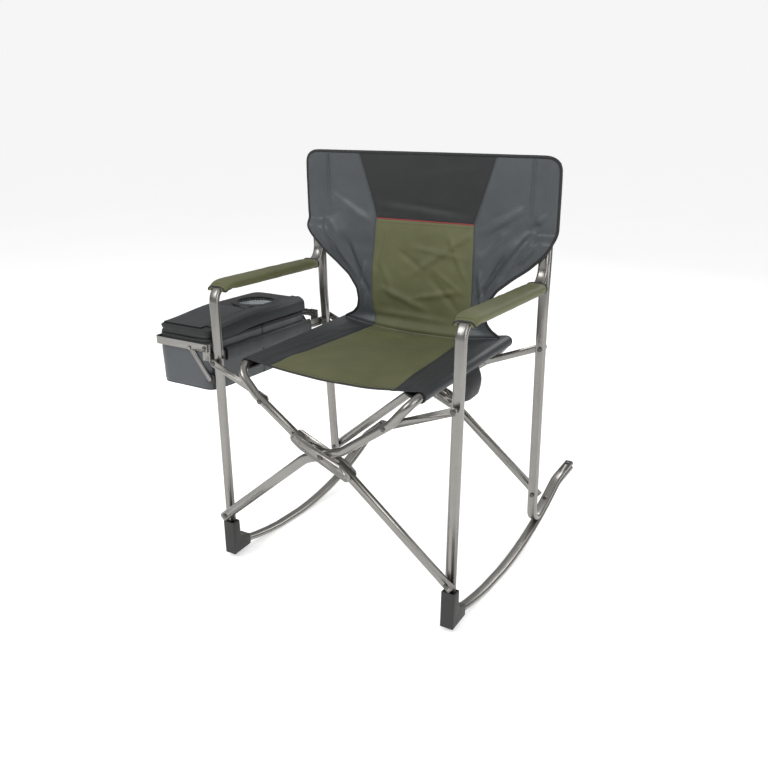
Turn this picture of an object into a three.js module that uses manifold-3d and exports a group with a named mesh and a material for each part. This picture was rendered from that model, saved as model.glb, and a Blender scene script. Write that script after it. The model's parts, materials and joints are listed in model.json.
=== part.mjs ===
// Camp rocking chair: a director's chair on sprung rockers that folds sideways, with a drop-down
// cooler shelf on one side. Millimetres, +Z up, the sitter faces -Y, the cooler is on the -X side.
import * as THREE from "three";
import { mergeVertices } from "three/addons/utils/BufferGeometryUtils.js";
import Module from "manifold-3d";

const wasm = await Module();
wasm.setup();

// ---- driving dimensions -------------------------------------------------------------------------
const GAP = 0.3; // between pieces that touch
const HOLE_GAP = 0.3; // all round a pin in its hole

const LEG_X = 292; // chair centre to the middle of a side frame
const TUBE_W = 24; // side frame tube: flat oval, wide face forward
const TUBE_T = 13;
const ARM_Z = 650; // middle of the arm tube
const LEG_BEND = 34; // bend radius at the front of the arm
const TIP_BEND = 38; // bend radius where the arm turns up to the post
const TIP_Z = 730; // top end of the arm tube
const LEG_END_Z = 30; // leg tube's lower end, inside the foot

const POST_TOP_Z = 895;
const POST_TOP_Y = 388;
const KINK_Z = 577; // the post leans back below this
const KINK_Y = 400;
const KINK_BEND = 160;
const POST_LOW_Z = 137; // a second point on the leaning stretch
const POST_LOW_Y = 436;
const SPRING_BEND = 30; // the post turns back through this onto the rocker

const ROCK_R = 800; // sole radius of the rocker
const ROCK_Y = 222; // where the sole touches the floor
const SOLE_FLAT = 92; // level stretch of the sole, under the chair's weight
const ROCK_START_Y = 9;
const ROCK_END_DEG = 27.4; // the rocker's slope where its tail bends back
const TAIL_DEG = 5;
const TAIL_BEND = 70;
const TAIL_LENGTH = 84;
const ROCKER_RIVET_Y = 57; // just behind the foot
const SPRING_RIVET_Y = 532;
const TAIL_RIVET_IN = 16; // in from the tail's end

const FOOT_W = 31;
const FOOT_TOP_Z = 96;
const FOOT_LOW_Z = 12;
const FOOT_FRONT_Y = -11.5;
const FOOT_BACK_Y = 46;

const COVER_W = 50; // padded arm cover
const COVER_T = 21;
const COVER_START_Y = 2;
const COVER_END_Y = 352;

const RAIL_D = 19; // round tube of the seat rails and upper crossed arms
const LOWER_W = 22; // the crossed arms are flattened below their pivot
const LOWER_T = 13;
const TILT_DEG = 2.5; // the crossed frames lean: their pivots rise towards the back
const PIVOT_Z = 117; // lower front pivot
const WASHER = 1.5; // between a crossed arm and its leg
const CENTRE_W = 222; // centre pivot above the lower pivots
const JOG = [48, 18.5]; // half length and half rise of the jog through the centre pivot
const KNEE = [165, 324]; // where the upper arm steepens
const RAIL = [212, 378]; // middle of a seat rail
const RAIL_BEND = 34;
const END_PAST_PIVOT = 13;
const STUB = 38; // how near the cut arms come to the centre

const PLATE_T = 2.5;
const PLATE_GAP = 0.5;
const LINK_T = 3;
const LINK_R = 8;
const LINK_RAIL_X = 152; // link's rail end
const LINK_LEG_W = 371; // link's leg end
const PIN_R = 3;
const CENTRE_PIN_R = 3.5;
const HEAD_R = 6;
const HEAD_T = 2.5;

const CLOTH_T = 3;
const SEAT_SAG = 16;
const BACK_TOP_Z = 906;
const BACK_HALF = 316;
const CHANNEL_LOW_Z = 748; // lower end of the channels sewn round the posts
const WING_LOW_Z = 714; // where the panel starts to narrow to its waist
const WAIST = [167, 575];
const BACK_LOW_Z = 516; // middle of the lower hem
const POUCH_V = [205, 285]; // along the right rail
const POUCH_DEEP = 60;

const SHELF_Z = 515; // middle of the cooler hoop's bar
const SHELF_OUT_X = -472; // outer bar
const SHELF_PIVOT_X = -322;
const SHELF_FRONT_Y = -10;
const SHELF_BACK_Y = 392;
const SHELF_BAR_H = 17;
const BAR_T = 3;
const RAIL_SPACER = 2; // between the shelf rail and the leg
const SHELF_HEAD_R = 4.8;
const SHELF_RAIL_H = 20;
const SHELF_RAIL_Z = 494;
const BRACE_T = 2.5;
const BRACE_TOP = [-367, 510];
const BRACE_FOOT = [-318, 445];
const BAG_LOW_Z = 414;
const BAG_TOP_Z = 532;
const BAG_BACK_Y = 347;
const BAG_WALL = 8;
const LID_FRONT_Z = 551;
const LID_BACK_Z = 564;
const CUP = [-381, 240];
const CUP_R = 46;
const CUP_DEPTH = 80;
const CUP_RIM = 13; // width of the ring round it

// ---- materials ----------------------------------------------------------------------------------
const finish = (color, roughness, metalness = 0) =>
  new THREE.MeshStandardMaterial({ color, roughness, metalness });
const steel = finish(0x84837d, 0.38, 0.8);
const zinc = finish(0x55534f, 0.4, 0.8);
const plastic = finish(0x3a3a39, 0.6);
const blackPlastic = finish(0x1b1c1c, 0.5);
const greenCloth = finish(0x666848, 0.9);
const greyCloth = finish(0x484d51, 0.9);
const blackCloth = finish(0x222526, 0.9);
const net = finish(0x8a8d8f, 0.8);

const chair = new THREE.Group();

function add(name, geometry, material, x = 0) {
  const mesh = new THREE.Mesh(geometry, material);
  mesh.name = name;
  mesh.position.x = x;
  chair.add(mesh);
  return mesh;
}

// ---- solids -------------------------------------------------------------------------------------
function toSolid(geometry) {
  const bare = new THREE.BufferGeometry();
  const source = geometry.index ? geometry.toNonIndexed() : geometry;
  bare.setAttribute("position", source.getAttribute("position"));
  const merged = mergeVertices(bare, 1e-3);
  const triVerts = new Uint32Array(merged.index.array);
  const vertProperties = merged.attributes.position.array;
  const build = () => new wasm.Manifold(new wasm.Mesh({ numProp: 3, vertProperties, triVerts }));
  const solid = build();
  if (solid.volume() > 0) return solid;
  for (let i = 0; i < triVerts.length; i += 3) {
    [triVerts[i + 1], triVerts[i + 2]] = [triVerts[i + 2], triVerts[i + 1]];
  }
  return build();
}

function toGeometry(solid) {
  const mesh = solid.getMesh();
  const geometry = new THREE.BufferGeometry();
  geometry.setAttribute("position", new THREE.BufferAttribute(mesh.vertProperties, 3));
  geometry.setIndex(new THREE.BufferAttribute(mesh.triVerts, 1));
  return geometry;
}

const join = (...parts) => toGeometry(wasm.Manifold.union(parts.map(toSolid)));
const cut = (body, ...tools) =>
  toGeometry(toSolid(body).subtract(wasm.Manifold.union(tools.map(toSolid))));
const hull = (...parts) => toGeometry(wasm.Manifold.hull(parts.map(toSolid)));

// A solid of revolution about a line: profile is [radius, distance along the axis] pairs.
function turned(profile, at, axis, sides = 14) {
  const points = profile.map(([r, h]) => new THREE.Vector2(r, h));
  const geometry = new THREE.LatheGeometry(points, sides);
  const turn = new THREE.Quaternion().setFromUnitVectors(new THREE.Vector3(0, 1, 0), axis);
  return geometry.applyQuaternion(turn).translate(at.x, at.y, at.z);
}

const rod = (radius, from, to, at, axis, sides) =>
  turned([[0, from], [radius, from], [radius, to], [0, to]], at, axis, sides);

function flatOval(width, thickness) {
  const upright = thickness > width;
  const r = Math.min(width, thickness) / 2;
  const reach = Math.abs(width - thickness) / 2;
  const shape = new THREE.Shape();
  const start = upright ? 0 : -Math.PI / 2;
  const [x, y] = upright ? [0, reach] : [reach, 0];
  shape.absarc(x, y, r, start, start + Math.PI);
  shape.absarc(-x, -y, r, start + Math.PI, start + 2 * Math.PI);
  return shape;
}

function disc(radius) {
  const shape = new THREE.Shape();
  shape.absarc(0, 0, radius, 0, 2 * Math.PI);
  return shape;
}

// A bent bar's middle line. A corner is rounded to its own bend, in facets of about `step` degrees; a
// point that says which way the line runs `along` there is passed through as it is.
class BentLine extends THREE.Curve {
  constructor(points, side = null) {
    super();
    this.side = side;
    this.stops = [];
    const last = points.length - 1;
    points.forEach((point, i) => {
      const ahead = points[Math.min(i + 1, last)].at.clone().sub(points[Math.min(i, last - 1)].at);
      if (point.along) this.pass(point.at, point.along);
      else if (i === 0 || i === last) this.pass(point.at, ahead);
      else this.round(point, point.at.clone().sub(points[i - 1].at).normalize(), ahead.normalize());
    });
  }
  pass(at, along) {
    const before = this.stops[this.stops.length - 1];
    if (before && before.at.distanceTo(at) < 0.01) return;
    this.stops.push({ at, along: along.clone().normalize() });
  }
  round({ at, bend, step = 15 }, into, out) {
    const turn = into.angleTo(out);
    const axis = into.clone().cross(out).normalize();
    const start = at.clone().addScaledVector(into, -bend * Math.tan(turn / 2));
    const toCentre = axis.clone().cross(into).multiplyScalar(bend);
    const centre = start.add(toCentre);
    const steps = Math.max(2, Math.round(turn / THREE.MathUtils.degToRad(step)));
    for (let k = 0; k <= steps; k++) {
      const angle = (turn * k) / steps;
      const spoke = toCentre.clone().negate().applyAxisAngle(axis, angle);
      this.pass(centre.clone().add(spoke), into.clone().applyAxisAngle(axis, angle));
    }
  }
  get steps() {
    return this.stops.length - 1;
  }
  getPointAt(u) {
    return this.stops[Math.round(u * this.steps)].at.clone();
  }
  getTangentAt(u) {
    return this.stops[Math.round(u * this.steps)].along.clone();
  }
  computeFrenetFrames(segments, closed) {
    if (!this.side) return super.computeFrenetFrames(segments, closed);
    const tangents = this.stops.map((s) => s.along.clone());
    const binormals = tangents.map((t) => t.clone().cross(this.side).normalize());
    const normals = tangents.map((t, i) => binormals[i].clone().cross(t).normalize());
    return { tangents, normals, binormals };
  }
}

function bentBar(section, line, curveSegments = 4) {
  return new THREE.ExtrudeGeometry(section, {
    steps: line.steps,
    extrudePath: line,
    curveSegments,
  });
}

const X_AXIS = new THREE.Vector3(1, 0, 0);
const Y_AXIS = new THREE.Vector3(0, 1, 0);
const UP = new THREE.Vector3(0, 0, 1);
const yz = (y, z, bend = 0) => ({ at: new THREE.Vector3(0, y, z), bend });

function box(x0, x1, y0, y1, z0, z1) {
  const geometry = new THREE.BoxGeometry(x1 - x0, y1 - y0, z1 - z0);
  return geometry.translate((x0 + x1) / 2, (y0 + y1) / 2, (z0 + z1) / 2);
}

// An outline drawn in Y and Z, pulled along X between x0 and x1.
function slabAlongX(outline, x0, x1) {
  const shape = new THREE.Shape(outline.map(([y, z]) => new THREE.Vector2(y, z)));
  const geometry = new THREE.ExtrudeGeometry(shape, { depth: x1 - x0, bevelEnabled: false });
  const toYz = new THREE.Matrix4().makeBasis(Y_AXIS, new THREE.Vector3(0, 0, 1), X_AXIS);
  return geometry.applyMatrix4(toYz).translate(x0, 0, 0);
}

// An outline drawn in X and Z, pulled along Y between y0 and y1.
function slabAlongY(shape, y0, y1, curveSegments = 8) {
  const geometry = new THREE.ExtrudeGeometry(shape, {
    depth: y1 - y0,
    bevelEnabled: false,
    curveSegments,
  });
  const toXz = new THREE.Matrix4().makeBasis(
    X_AXIS,
    new THREE.Vector3(0, 0, 1),
    new THREE.Vector3(0, -1, 0),
  );
  return geometry.applyMatrix4(toXz).translate(0, y1, 0);
}

// ---- the leaning frame of the crossed arms: x across, v back along the pivots, w up -----------------
const tilt = THREE.MathUtils.degToRad(TILT_DEG);
const PIVOT_Y = -TUBE_T / 2 - WASHER - LOWER_T / 2;
const V_AXIS = new THREE.Vector3(0, Math.cos(tilt), Math.sin(tilt));
const W_AXIS = new THREE.Vector3(0, -Math.sin(tilt), Math.cos(tilt));
const cross = (x, v, w) =>
  new THREE.Vector3(x, PIVOT_Y, PIVOT_Z).addScaledVector(V_AXIS, v).addScaledVector(W_AXIS, w);

const postLean = (KINK_Y - POST_LOW_Y) / (KINK_Z - POST_LOW_Z);
const upperLean = (POST_TOP_Y - KINK_Y) / (POST_TOP_Z - KINK_Z);
const postY = (z) => (z > KINK_Z ? KINK_Y + upperLean * (z - KINK_Z) : KINK_Y + postLean * (z - KINK_Z));

// The rear crossed arms stand behind the posts: their distance back, measured along the pivots.
const rearPivotZ = PIVOT_Z + POST_LOW_Y * Math.sin(tilt);
const REAR_V =
  (postY(rearPivotZ) + TUBE_T / 2 + WASHER + LOWER_T / 2 - PIVOT_Y) / Math.cos(tilt);
// How far along the pivot axis a leg's front face, or a post's back face, lies at height w.
const legFaceV = (w) => (-TUBE_T / 2 - PIVOT_Y + w * Math.sin(tilt)) / Math.cos(tilt);
function postFaceV(w) {
  const z = cross(0, REAR_V, w).z;
  return (postY(z) + TUBE_T / 2 - PIVOT_Y + w * Math.sin(tilt)) / Math.cos(tilt);
}

// ---- rocker geometry ------------------------------------------------------------------------------
// A point at a height above the sole, at an angle from the sole's level stretch.
function onRocker(deg, height) {
  const a = THREE.MathUtils.degToRad(deg);
  const r = ROCK_R - height;
  return new THREE.Vector3(0, ROCK_Y + r * Math.sin(a), ROCK_R - r * Math.cos(a));
}
// The way the rocker runs at an angle, and the way across it.
const heading = (deg) => {
  const a = THREE.MathUtils.degToRad(deg);
  return new THREE.Vector3(0, Math.cos(a), Math.sin(a));
};
const across = (deg) => heading(deg + 90);
const degAtY = (y, height) =>
  THREE.MathUtils.radToDeg(Math.asin((y - ROCK_Y) / (ROCK_R - height)));

const MID = TUBE_T / 2;
const STRIP = TUBE_T * 1.5 + GAP; // middle of the strip that lies on the rocker
const startDeg = degAtY(ROCK_START_Y, MID);
const flatDeg = degAtY(ROCK_Y + SOLE_FLAT / 2, 0);

// The post's spring bend runs into the strip: the bend's centre lies at its radius from the leaning
// post and from the strip's own circle.
const postUp = new THREE.Vector3(0, postLean, 1).normalize();
const postLow = new THREE.Vector3(0, POST_LOW_Y, POST_LOW_Z);
const rockCentre = new THREE.Vector3(0, ROCK_Y, ROCK_R);
function springLanding() {
  const offset = new THREE.Vector3(0, postUp.z, -postUp.y).multiplyScalar(SPRING_BEND);
  const from = postLow.clone().add(offset).sub(rockCentre);
  const b = from.dot(postUp);
  const reach = ROCK_R - STRIP - SPRING_BEND;
  const down = -b - Math.sqrt(b * b - from.lengthSq() + reach * reach);
  const centre = from.addScaledVector(postUp, down);
  const deg = THREE.MathUtils.radToDeg(Math.asin(centre.y / reach));
  const turn = Math.acos(-postUp.dot(heading(deg)));
  const corner = onRocker(deg, STRIP).addScaledVector(heading(deg), -SPRING_BEND * Math.tan(turn / 2));
  return { deg, corner };
}
const landing = springLanding();

// Points on a circle of the rocker between two angles, about one to every three degrees.
function arcPoints(fromDeg, toDeg, height) {
  const count = Math.max(1, Math.round((toDeg - fromDeg) / 3));
  return Array.from({ length: count }, (_, i) => {
    const deg = fromDeg + ((toDeg - fromDeg) * (i + 1)) / count;
    return { at: onRocker(deg, height), along: heading(deg) };
  });
}

function tail(height) {
  const turn = THREE.MathUtils.degToRad(ROCK_END_DEG - TAIL_DEG);
  const bend = TAIL_BEND + height - MID;
  const tangent = bend * Math.tan(turn / 2);
  const corner = onRocker(ROCK_END_DEG, height).addScaledVector(heading(ROCK_END_DEG), tangent);
  const end = corner.clone().addScaledVector(heading(TAIL_DEG), tangent + TAIL_LENGTH);
  return [{ at: corner, bend, step: 8 }, { at: end }];
}

// `past` lengthens the front end, for the socket that holds it.
function rockerLine(past = 0) {
  const start = onRocker(startDeg, MID);
  return new BentLine(
    [
      { at: start.addScaledVector(heading(startDeg), -past), along: heading(startDeg) },
      ...arcPoints(startDeg, -flatDeg, MID),
      { at: onRocker(flatDeg, MID), along: heading(flatDeg) },
      ...arcPoints(flatDeg, landing.deg, MID),
      ...arcPoints(landing.deg, ROCK_END_DEG, MID),
      ...tail(MID),
    ],
    X_AXIS,
  );
}

function postLine() {
  return new BentLine(
    [
      yz(POST_TOP_Y, POST_TOP_Z),
      yz(KINK_Y, KINK_Z, KINK_BEND),
      { at: landing.corner, bend: SPRING_BEND },
      { at: onRocker(landing.deg, STRIP), along: heading(landing.deg) },
      ...arcPoints(landing.deg, ROCK_END_DEG, STRIP),
      ...tail(STRIP),
    ],
    X_AXIS,
  );
}

const tipY = postY(TIP_Z) - TUBE_T - GAP * 2;
function armLine() {
  return new BentLine(
    [
      yz(0, LEG_END_Z),
      yz(0, ARM_Z, LEG_BEND),
      yz(tipY - upperLean * (TIP_Z - ARM_Z), ARM_Z, TIP_BEND),
      yz(tipY, TIP_Z),
    ],
    X_AXIS,
  );
}

// ---- side frames: each piece is the same on both sides ---------------------------------------------
const ARM_BOLT_Z = 716;
const SHELF_BOLT_Z = 499;
const REAR_SHELF_BOLT_Z = 494;
const SHELF_PIN_R = 2.5;
const TUBE_HALF = TUBE_W / 2;
const rockerRivetDeg = degAtY(ROCKER_RIVET_Y, MID);
const springRivetDeg = degAtY(SPRING_RIVET_Y, TUBE_T);

const hole = (radius, at, axis, half = 40) => rod(radius + HOLE_GAP, -half, half, at, axis, 14);

const lowerFront = cross(0, 0, 0);
const lowerRear = cross(0, REAR_V, 0);
const linkFront = cross(0, 0, LINK_LEG_W);
const linkRear = cross(0, REAR_V, LINK_LEG_W);
const armBolt = new THREE.Vector3(0, postY(ARM_BOLT_Z), ARM_BOLT_Z);
const tailRivetAt = tail(TUBE_T + GAP / 2)[1].at.addScaledVector(heading(TAIL_DEG), -TAIL_RIVET_IN);
const springAt = onRocker(springRivetDeg, TUBE_T + GAP / 2);
const rockerAt = onRocker(rockerRivetDeg, MID);

const holesIn = {
  leg: [
    hole(PIN_R, lowerFront, V_AXIS, 30),
    hole(PIN_R, linkFront, V_AXIS, 45),
    hole(PIN_R, armBolt, Y_AXIS, 30),
  ],
  post: [
    hole(PIN_R, lowerRear, V_AXIS, 30),
    hole(PIN_R, linkRear, V_AXIS, 60),
    hole(PIN_R, armBolt, Y_AXIS, 30),
    hole(PIN_R, springAt, across(springRivetDeg), 24),
    hole(PIN_R, tailRivetAt, across(TAIL_DEG), 24),
  ],
  rocker: [
    hole(PIN_R, rockerAt, across(rockerRivetDeg), 20),
    hole(PIN_R, springAt, across(springRivetDeg), 24),
    hole(PIN_R, tailRivetAt, across(TAIL_DEG), 24),
  ],
};
const shelfHoles = {
  leg: hole(SHELF_PIN_R, new THREE.Vector3(0, 0, SHELF_BOLT_Z), X_AXIS, 30),
  post: hole(
    SHELF_PIN_R,
    new THREE.Vector3(0, postY(REAR_SHELF_BOLT_Z), REAR_SHELF_BOLT_Z),
    X_AXIS,
    30,
  ),
};

const section = flatOval(TUBE_W, TUBE_T);
const legBar = bentBar(section, armLine());
const postBar = bentBar(section, postLine());
const rockerBar = bentBar(section, rockerLine());

function foot() {
  const slope = 5;
  const body = new THREE.Shape(
    [
      [FOOT_FRONT_Y, FOOT_LOW_Z],
      [FOOT_BACK_Y, FOOT_LOW_Z + slope],
      [FOOT_BACK_Y, FOOT_LOW_Z + 31],
      [22, FOOT_LOW_Z + 37],
      [12.5, FOOT_LOW_Z + 46],
      [11.5, FOOT_TOP_Z],
      [FOOT_FRONT_Y, FOOT_TOP_Z],
    ].map(([y, z]) => new THREE.Vector2(y, z)),
  );
  const bevel = 2;
  const geometry = new THREE.ExtrudeGeometry(body, {
    depth: FOOT_W - 2 * bevel,
    bevelThickness: bevel,
    bevelSize: bevel,
    bevelOffset: -bevel,
    bevelSegments: 2,
  });
  const toYz = new THREE.Matrix4().makeBasis(Y_AXIS, new THREE.Vector3(0, 0, 1), X_AXIS);
  geometry.applyMatrix4(toYz).translate(-FOOT_W / 2 + bevel, 0, 0);
  const socket = flatOval(TUBE_W + 2 * GAP, TUBE_T + 2 * GAP);
  const legSocket = bentBar(socket, new BentLine([yz(0, LEG_END_Z - GAP), yz(0, 200)], X_AXIS));
  const rockerSocket = bentBar(
    flatOval(TUBE_W + 2 * GAP, TUBE_T + 2 * GAP),
    rockerLine(GAP),
  );
  return cut(geometry, legSocket, rockerSocket);
}

function armCover() {
  const outer = new THREE.Shape();
  const r = 7;
  const [hw, hh] = [COVER_W / 2, COVER_T / 2];
  outer.moveTo(-hw + r, -hh);
  outer.lineTo(hw - r, -hh);
  outer.absarc(hw - r, -hh + r, r, -Math.PI / 2, 0);
  outer.absarc(hw - r, hh - r, r, 0, Math.PI / 2);
  outer.absarc(-hw + r, hh - r, r, Math.PI / 2, Math.PI);
  outer.absarc(-hw + r, -hh + r, r, Math.PI, 1.5 * Math.PI);
  const sleeve = slabAlongY(outer, COVER_START_Y, COVER_END_Y, 3).translate(0, 0, ARM_Z);
  const bore = bentBar(flatOval(TUBE_W + 2 * GAP, TUBE_T + 2 * GAP), armLine());
  const throat = box(-TUBE_HALF - GAP, TUBE_HALF + GAP, -20, LEG_BEND, ARM_Z - 60, ARM_Z);
  return cut(sleeve, bore, throat);
}

// A headed bolt along an axis. Distances along it run from the head's seat to the nut's seat, and a
// collar may fill a space between two stations.
function bolt(radius, seat, nutSeat, at, axis, collar = null, headR = HEAD_R) {
  const profile = [
    [0, seat - GAP - HEAD_T],
    [headR * 0.7, seat - GAP - HEAD_T],
    [headR, seat - GAP - HEAD_T * 0.4],
    [headR, seat - GAP],
    [radius, seat - GAP],
  ];
  if (collar) {
    profile.push([radius, collar[0]], [headR, collar[0]], [headR, collar[1]], [radius, collar[1]]);
  }
  profile.push(
    [radius, nutSeat + GAP],
    [headR - 0.8, nutSeat + GAP],
    [headR - 0.8, nutSeat + GAP + HEAD_T],
    [0, nutSeat + GAP + HEAD_T],
  );
  return turned(profile, at, axis, 12);
}

const BACK_AXIS = V_AXIS.clone().negate();
const sideShapes = {
  rocker: cut(rockerBar, ...holesIn.rocker),
  foot: foot(),
  arm_cover: armCover(),
  arm_bolt: bolt(PIN_R, -TUBE_T * 1.5 - 2 * GAP, TUBE_T / 2, armBolt, Y_AXIS),
  rocker_rivet: bolt(PIN_R, -TUBE_T / 2, TUBE_T / 2, rockerAt, across(180 + rockerRivetDeg)),
  spring_rivet: bolt(
    PIN_R,
    -TUBE_T - GAP / 2,
    TUBE_T + GAP / 2,
    springAt,
    across(180 + springRivetDeg),
  ),
  tail_rivet: bolt(PIN_R, -TUBE_T - GAP / 2, TUBE_T + GAP / 2, tailRivetAt, across(180 + TAIL_DEG)),
};

const washerGap = 0.15;
const leanRoom = HEAD_R * Math.sin(tilt) + washerGap; // a collar stands square to the pivot, not the leg
const headSeat = LOWER_T / 2;
function lowerBolt(face, at, axis) {
  const collar = [headSeat + washerGap, face - leanRoom];
  return bolt(PIN_R, -headSeat, face + TUBE_T + leanRoom, at, axis, collar);
}
const linkBack = RAIL_D / 2 + PLATE_GAP + LINK_T;
function linkBolt(face, at, axis) {
  const collar = [linkBack + GAP, face - leanRoom];
  return bolt(PIN_R, RAIL_D / 2 + PLATE_GAP, face + TUBE_T + leanRoom, at, axis, collar);
}
sideShapes.lower_bolt_front = lowerBolt(legFaceV(0), lowerFront, V_AXIS);
sideShapes.lower_bolt_rear = lowerBolt(REAR_V - postFaceV(0), lowerRear, BACK_AXIS);
sideShapes.link_bolt_front = linkBolt(legFaceV(LINK_LEG_W), linkFront, V_AXIS);
sideShapes.link_bolt_rear = linkBolt(REAR_V - postFaceV(LINK_LEG_W), linkRear, BACK_AXIS);

const sideMaterials = {
  rocker: steel,
  foot: plastic,
  arm_cover: greenCloth,
};

for (const [side, sign] of [["left", -1], ["right", 1]]) {
  const drilled = side === "left";
  const legHoles = drilled ? [...holesIn.leg, shelfHoles.leg] : holesIn.leg;
  const postHoles = drilled ? [...holesIn.post, shelfHoles.post] : holesIn.post;
  add("leg_and_arm_" + side, cut(legBar, ...legHoles), steel, sign * LEG_X);
  add("rear_post_" + side, cut(postBar, ...postHoles), steel, sign * LEG_X);
  for (const [name, shape] of Object.entries(sideShapes)) {
    add(name + "_" + side, shape, sideMaterials[name] ?? zinc, sign * LEG_X);
  }
}

// ---- crossed frames ---------------------------------------------------------------------------------
const LEVELS = [0, REAR_V]; // the front and rear sets
const centreW = CENTRE_W;
const lowerSlope = (centreW - JOG[1]) / (LEG_X - JOG[0]);
const upperSlope = (KNEE[1] - centreW - JOG[1]) / (KNEE[0] - JOG[0]);
const lowerEnd = () => {
  const d = Math.hypot(1, lowerSlope);
  return [LEG_X + END_PAST_PIVOT / d, (-END_PAST_PIVOT * lowerSlope) / d];
};
const corner = (x, v, w, bend = 0) => ({ at: cross(x, v, w), bend });

// sign +1 draws the frame whose rail is on the right, -1 the one whose rail is on the left.
function railCorners(sign, start) {
  const [inX, inW] = start;
  const arm = (v) => [
    corner(sign * inX, v, inW),
    ...(inX < JOG[0] - 15 ? [corner(sign * JOG[0], v, centreW + JOG[1], 40)] : []),
    corner(sign * KNEE[0], v, KNEE[1], 70),
    corner(sign * RAIL[0], v, RAIL[1], RAIL_BEND),
  ];
  return [...arm(0), ...arm(REAR_V).reverse()];
}

const roundRail = (sign, start) =>
  bentBar(disc(RAIL_D / 2), new BentLine(railCorners(sign, start)), 9);

function lowerArm(sign, v, start, bends) {
  const [ex, ew] = lowerEnd();
  const corners = [corner(sign * start[0], v, start[1])];
  if (bends) corners.push(corner(-sign * JOG[0], v, centreW - JOG[1], 60));
  corners.push(corner(bends ? -sign * ex : sign * ex, v, ew));
  return bentBar(flatOval(LOWER_T, LOWER_W), new BentLine(corners, V_AXIS));
}

const centreAt = (v) => cross(0, v, centreW);
const linkRailW = centreW + JOG[1] + upperSlope * (LINK_RAIL_X - JOG[0]);
const jogSlope = JOG[1] / JOG[0];
const nearCentre = (x) => [x, centreW + x * jogSlope];

function rightRailFrame() {
  const pieces = [roundRail(1, nearCentre(6))];
  for (const v of LEVELS) pieces.push(lowerArm(1, v, nearCentre(14), true));
  const drills = LEVELS.flatMap((v) => [
    hole(CENTRE_PIN_R, centreAt(v), V_AXIS, 20),
    hole(PIN_R, cross(LINK_RAIL_X, v, linkRailW), V_AXIS, 20),
    hole(PIN_R, cross(-LEG_X, v, 0), V_AXIS, 20),
  ]);
  return cut(join(...pieces), ...drills);
}

const plateRivets = [
  [-62, centreW + JOG[1] + upperSlope * (62 - JOG[0])],
  [-46, centreW + JOG[1] + upperSlope * (46 - JOG[0])],
  [46, centreW - JOG[1] - lowerSlope * (46 - JOG[0])],
  [62, centreW - JOG[1] - lowerSlope * (62 - JOG[0])],
];
const RIVET_R = 2.6;

function leftRailFrame() {
  const startW = centreW + JOG[1] + upperSlope * (STUB - JOG[0]);
  const drills = LEVELS.flatMap((v) => [
    hole(PIN_R, cross(-LINK_RAIL_X, v, linkRailW), V_AXIS, 20),
    ...plateRivets.slice(0, 2).map(([x, w]) => hole(RIVET_R, cross(x, v, w), V_AXIS, 20)),
  ]);
  return cut(roundRail(-1, [STUB, startW]), ...drills);
}

function cutLowerArm(v) {
  const startW = centreW - JOG[1] - lowerSlope * (STUB - JOG[0]);
  const drills = plateRivets.slice(2).map(([x, w]) => hole(RIVET_R, cross(x, v, w), V_AXIS, 20));
  drills.push(hole(PIN_R, cross(LEG_X, v, 0), V_AXIS, 20));
  return cut(lowerArm(1, v, [STUB, startW], false), ...drills);
}

// Two plates and the rivets through the cut arms, riveted up as one piece.
function centreBracket(v) {
  const inner = RAIL_D / 2 + PLATE_GAP;
  const plate = (from, to) =>
    hull(
      ...plateRivets.map(([x, w]) => rod(11.5, from, to, cross(x, v, w), V_AXIS, 18)),
      rod(14, from, to, centreAt(v), V_AXIS, 18),
    );
  const rivets = plateRivets.map(([x, w]) =>
    rod(RIVET_R, -inner - PLATE_T - 2, inner + PLATE_T + 1, cross(x, v, w), V_AXIS, 14),
  );
  const heads = plateRivets.map(([x, w]) =>
    turned(
      [[0, -2.2], [3, -2.2], [4.8, -0.8], [4.8, 0.4], [0, 0.4]],
      cross(x, v - inner - PLATE_T, w),
      V_AXIS,
    ),
  );
  const both = join(
    plate(-inner - PLATE_T, -inner),
    plate(inner, inner + PLATE_T),
    ...rivets,
    ...heads,
  );
  return cut(both, hole(CENTRE_PIN_R, centreAt(v), V_AXIS, 20));
}

const plateOut = RAIL_D / 2 + PLATE_GAP + PLATE_T;
const centrePin = (v) => bolt(CENTRE_PIN_R, -plateOut, plateOut, centreAt(v), V_AXIS);

function link(sign, v, facing) {
  const from = RAIL_D / 2 + PLATE_GAP;
  const axis = facing > 0 ? V_AXIS : BACK_AXIS;
  const legEnd = cross(sign * LEG_X, v, LINK_LEG_W);
  const railEnd = cross(sign * LINK_RAIL_X, v, linkRailW);
  const bar = hull(
    rod(LINK_R, from, from + LINK_T, legEnd, axis, 18),
    rod(LINK_R, from, from + LINK_T, railEnd, axis, 18),
  );
  const head = rod(5, from + LINK_T - 0.5, from + LINK_T + 1.8, railEnd, axis);
  return cut(join(bar, head), hole(PIN_R, legEnd, axis, 30));
}

function railRivet(sign, v, facing) {
  const at = cross(sign * LINK_RAIL_X, v, linkRailW);
  const out = RAIL_D / 2;
  const profile = [
    [0, -out - GAP - 2.2],
    [3.5, -out - GAP - 2.2],
    [5.5, -out - GAP - 0.9],
    [5.5, -out - GAP],
    [PIN_R, -out - GAP],
    [PIN_R, out + 0.2],
    [0, out + 0.2],
  ];
  return turned(profile, at, facing > 0 ? V_AXIS : BACK_AXIS);
}

add("seat_rail_left", leftRailFrame(), steel);
add("seat_rail_right", rightRailFrame(), steel);
for (const [place, v, facing] of [["front", 0, 1], ["rear", REAR_V, -1]]) {
  add("lower_arm_" + place, cutLowerArm(v), steel);
  add("centre_bracket_" + place, centreBracket(v), steel);
  add("centre_pin_" + place, centrePin(v), zinc);
  for (const [side, sign] of [["left", -1], ["right", 1]]) {
    add("link_" + place + "_" + side, link(sign, v, facing), steel);
    add("link_rivet_" + place + "_" + side, railRivet(sign, v, facing), zinc);
  }
}

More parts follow.
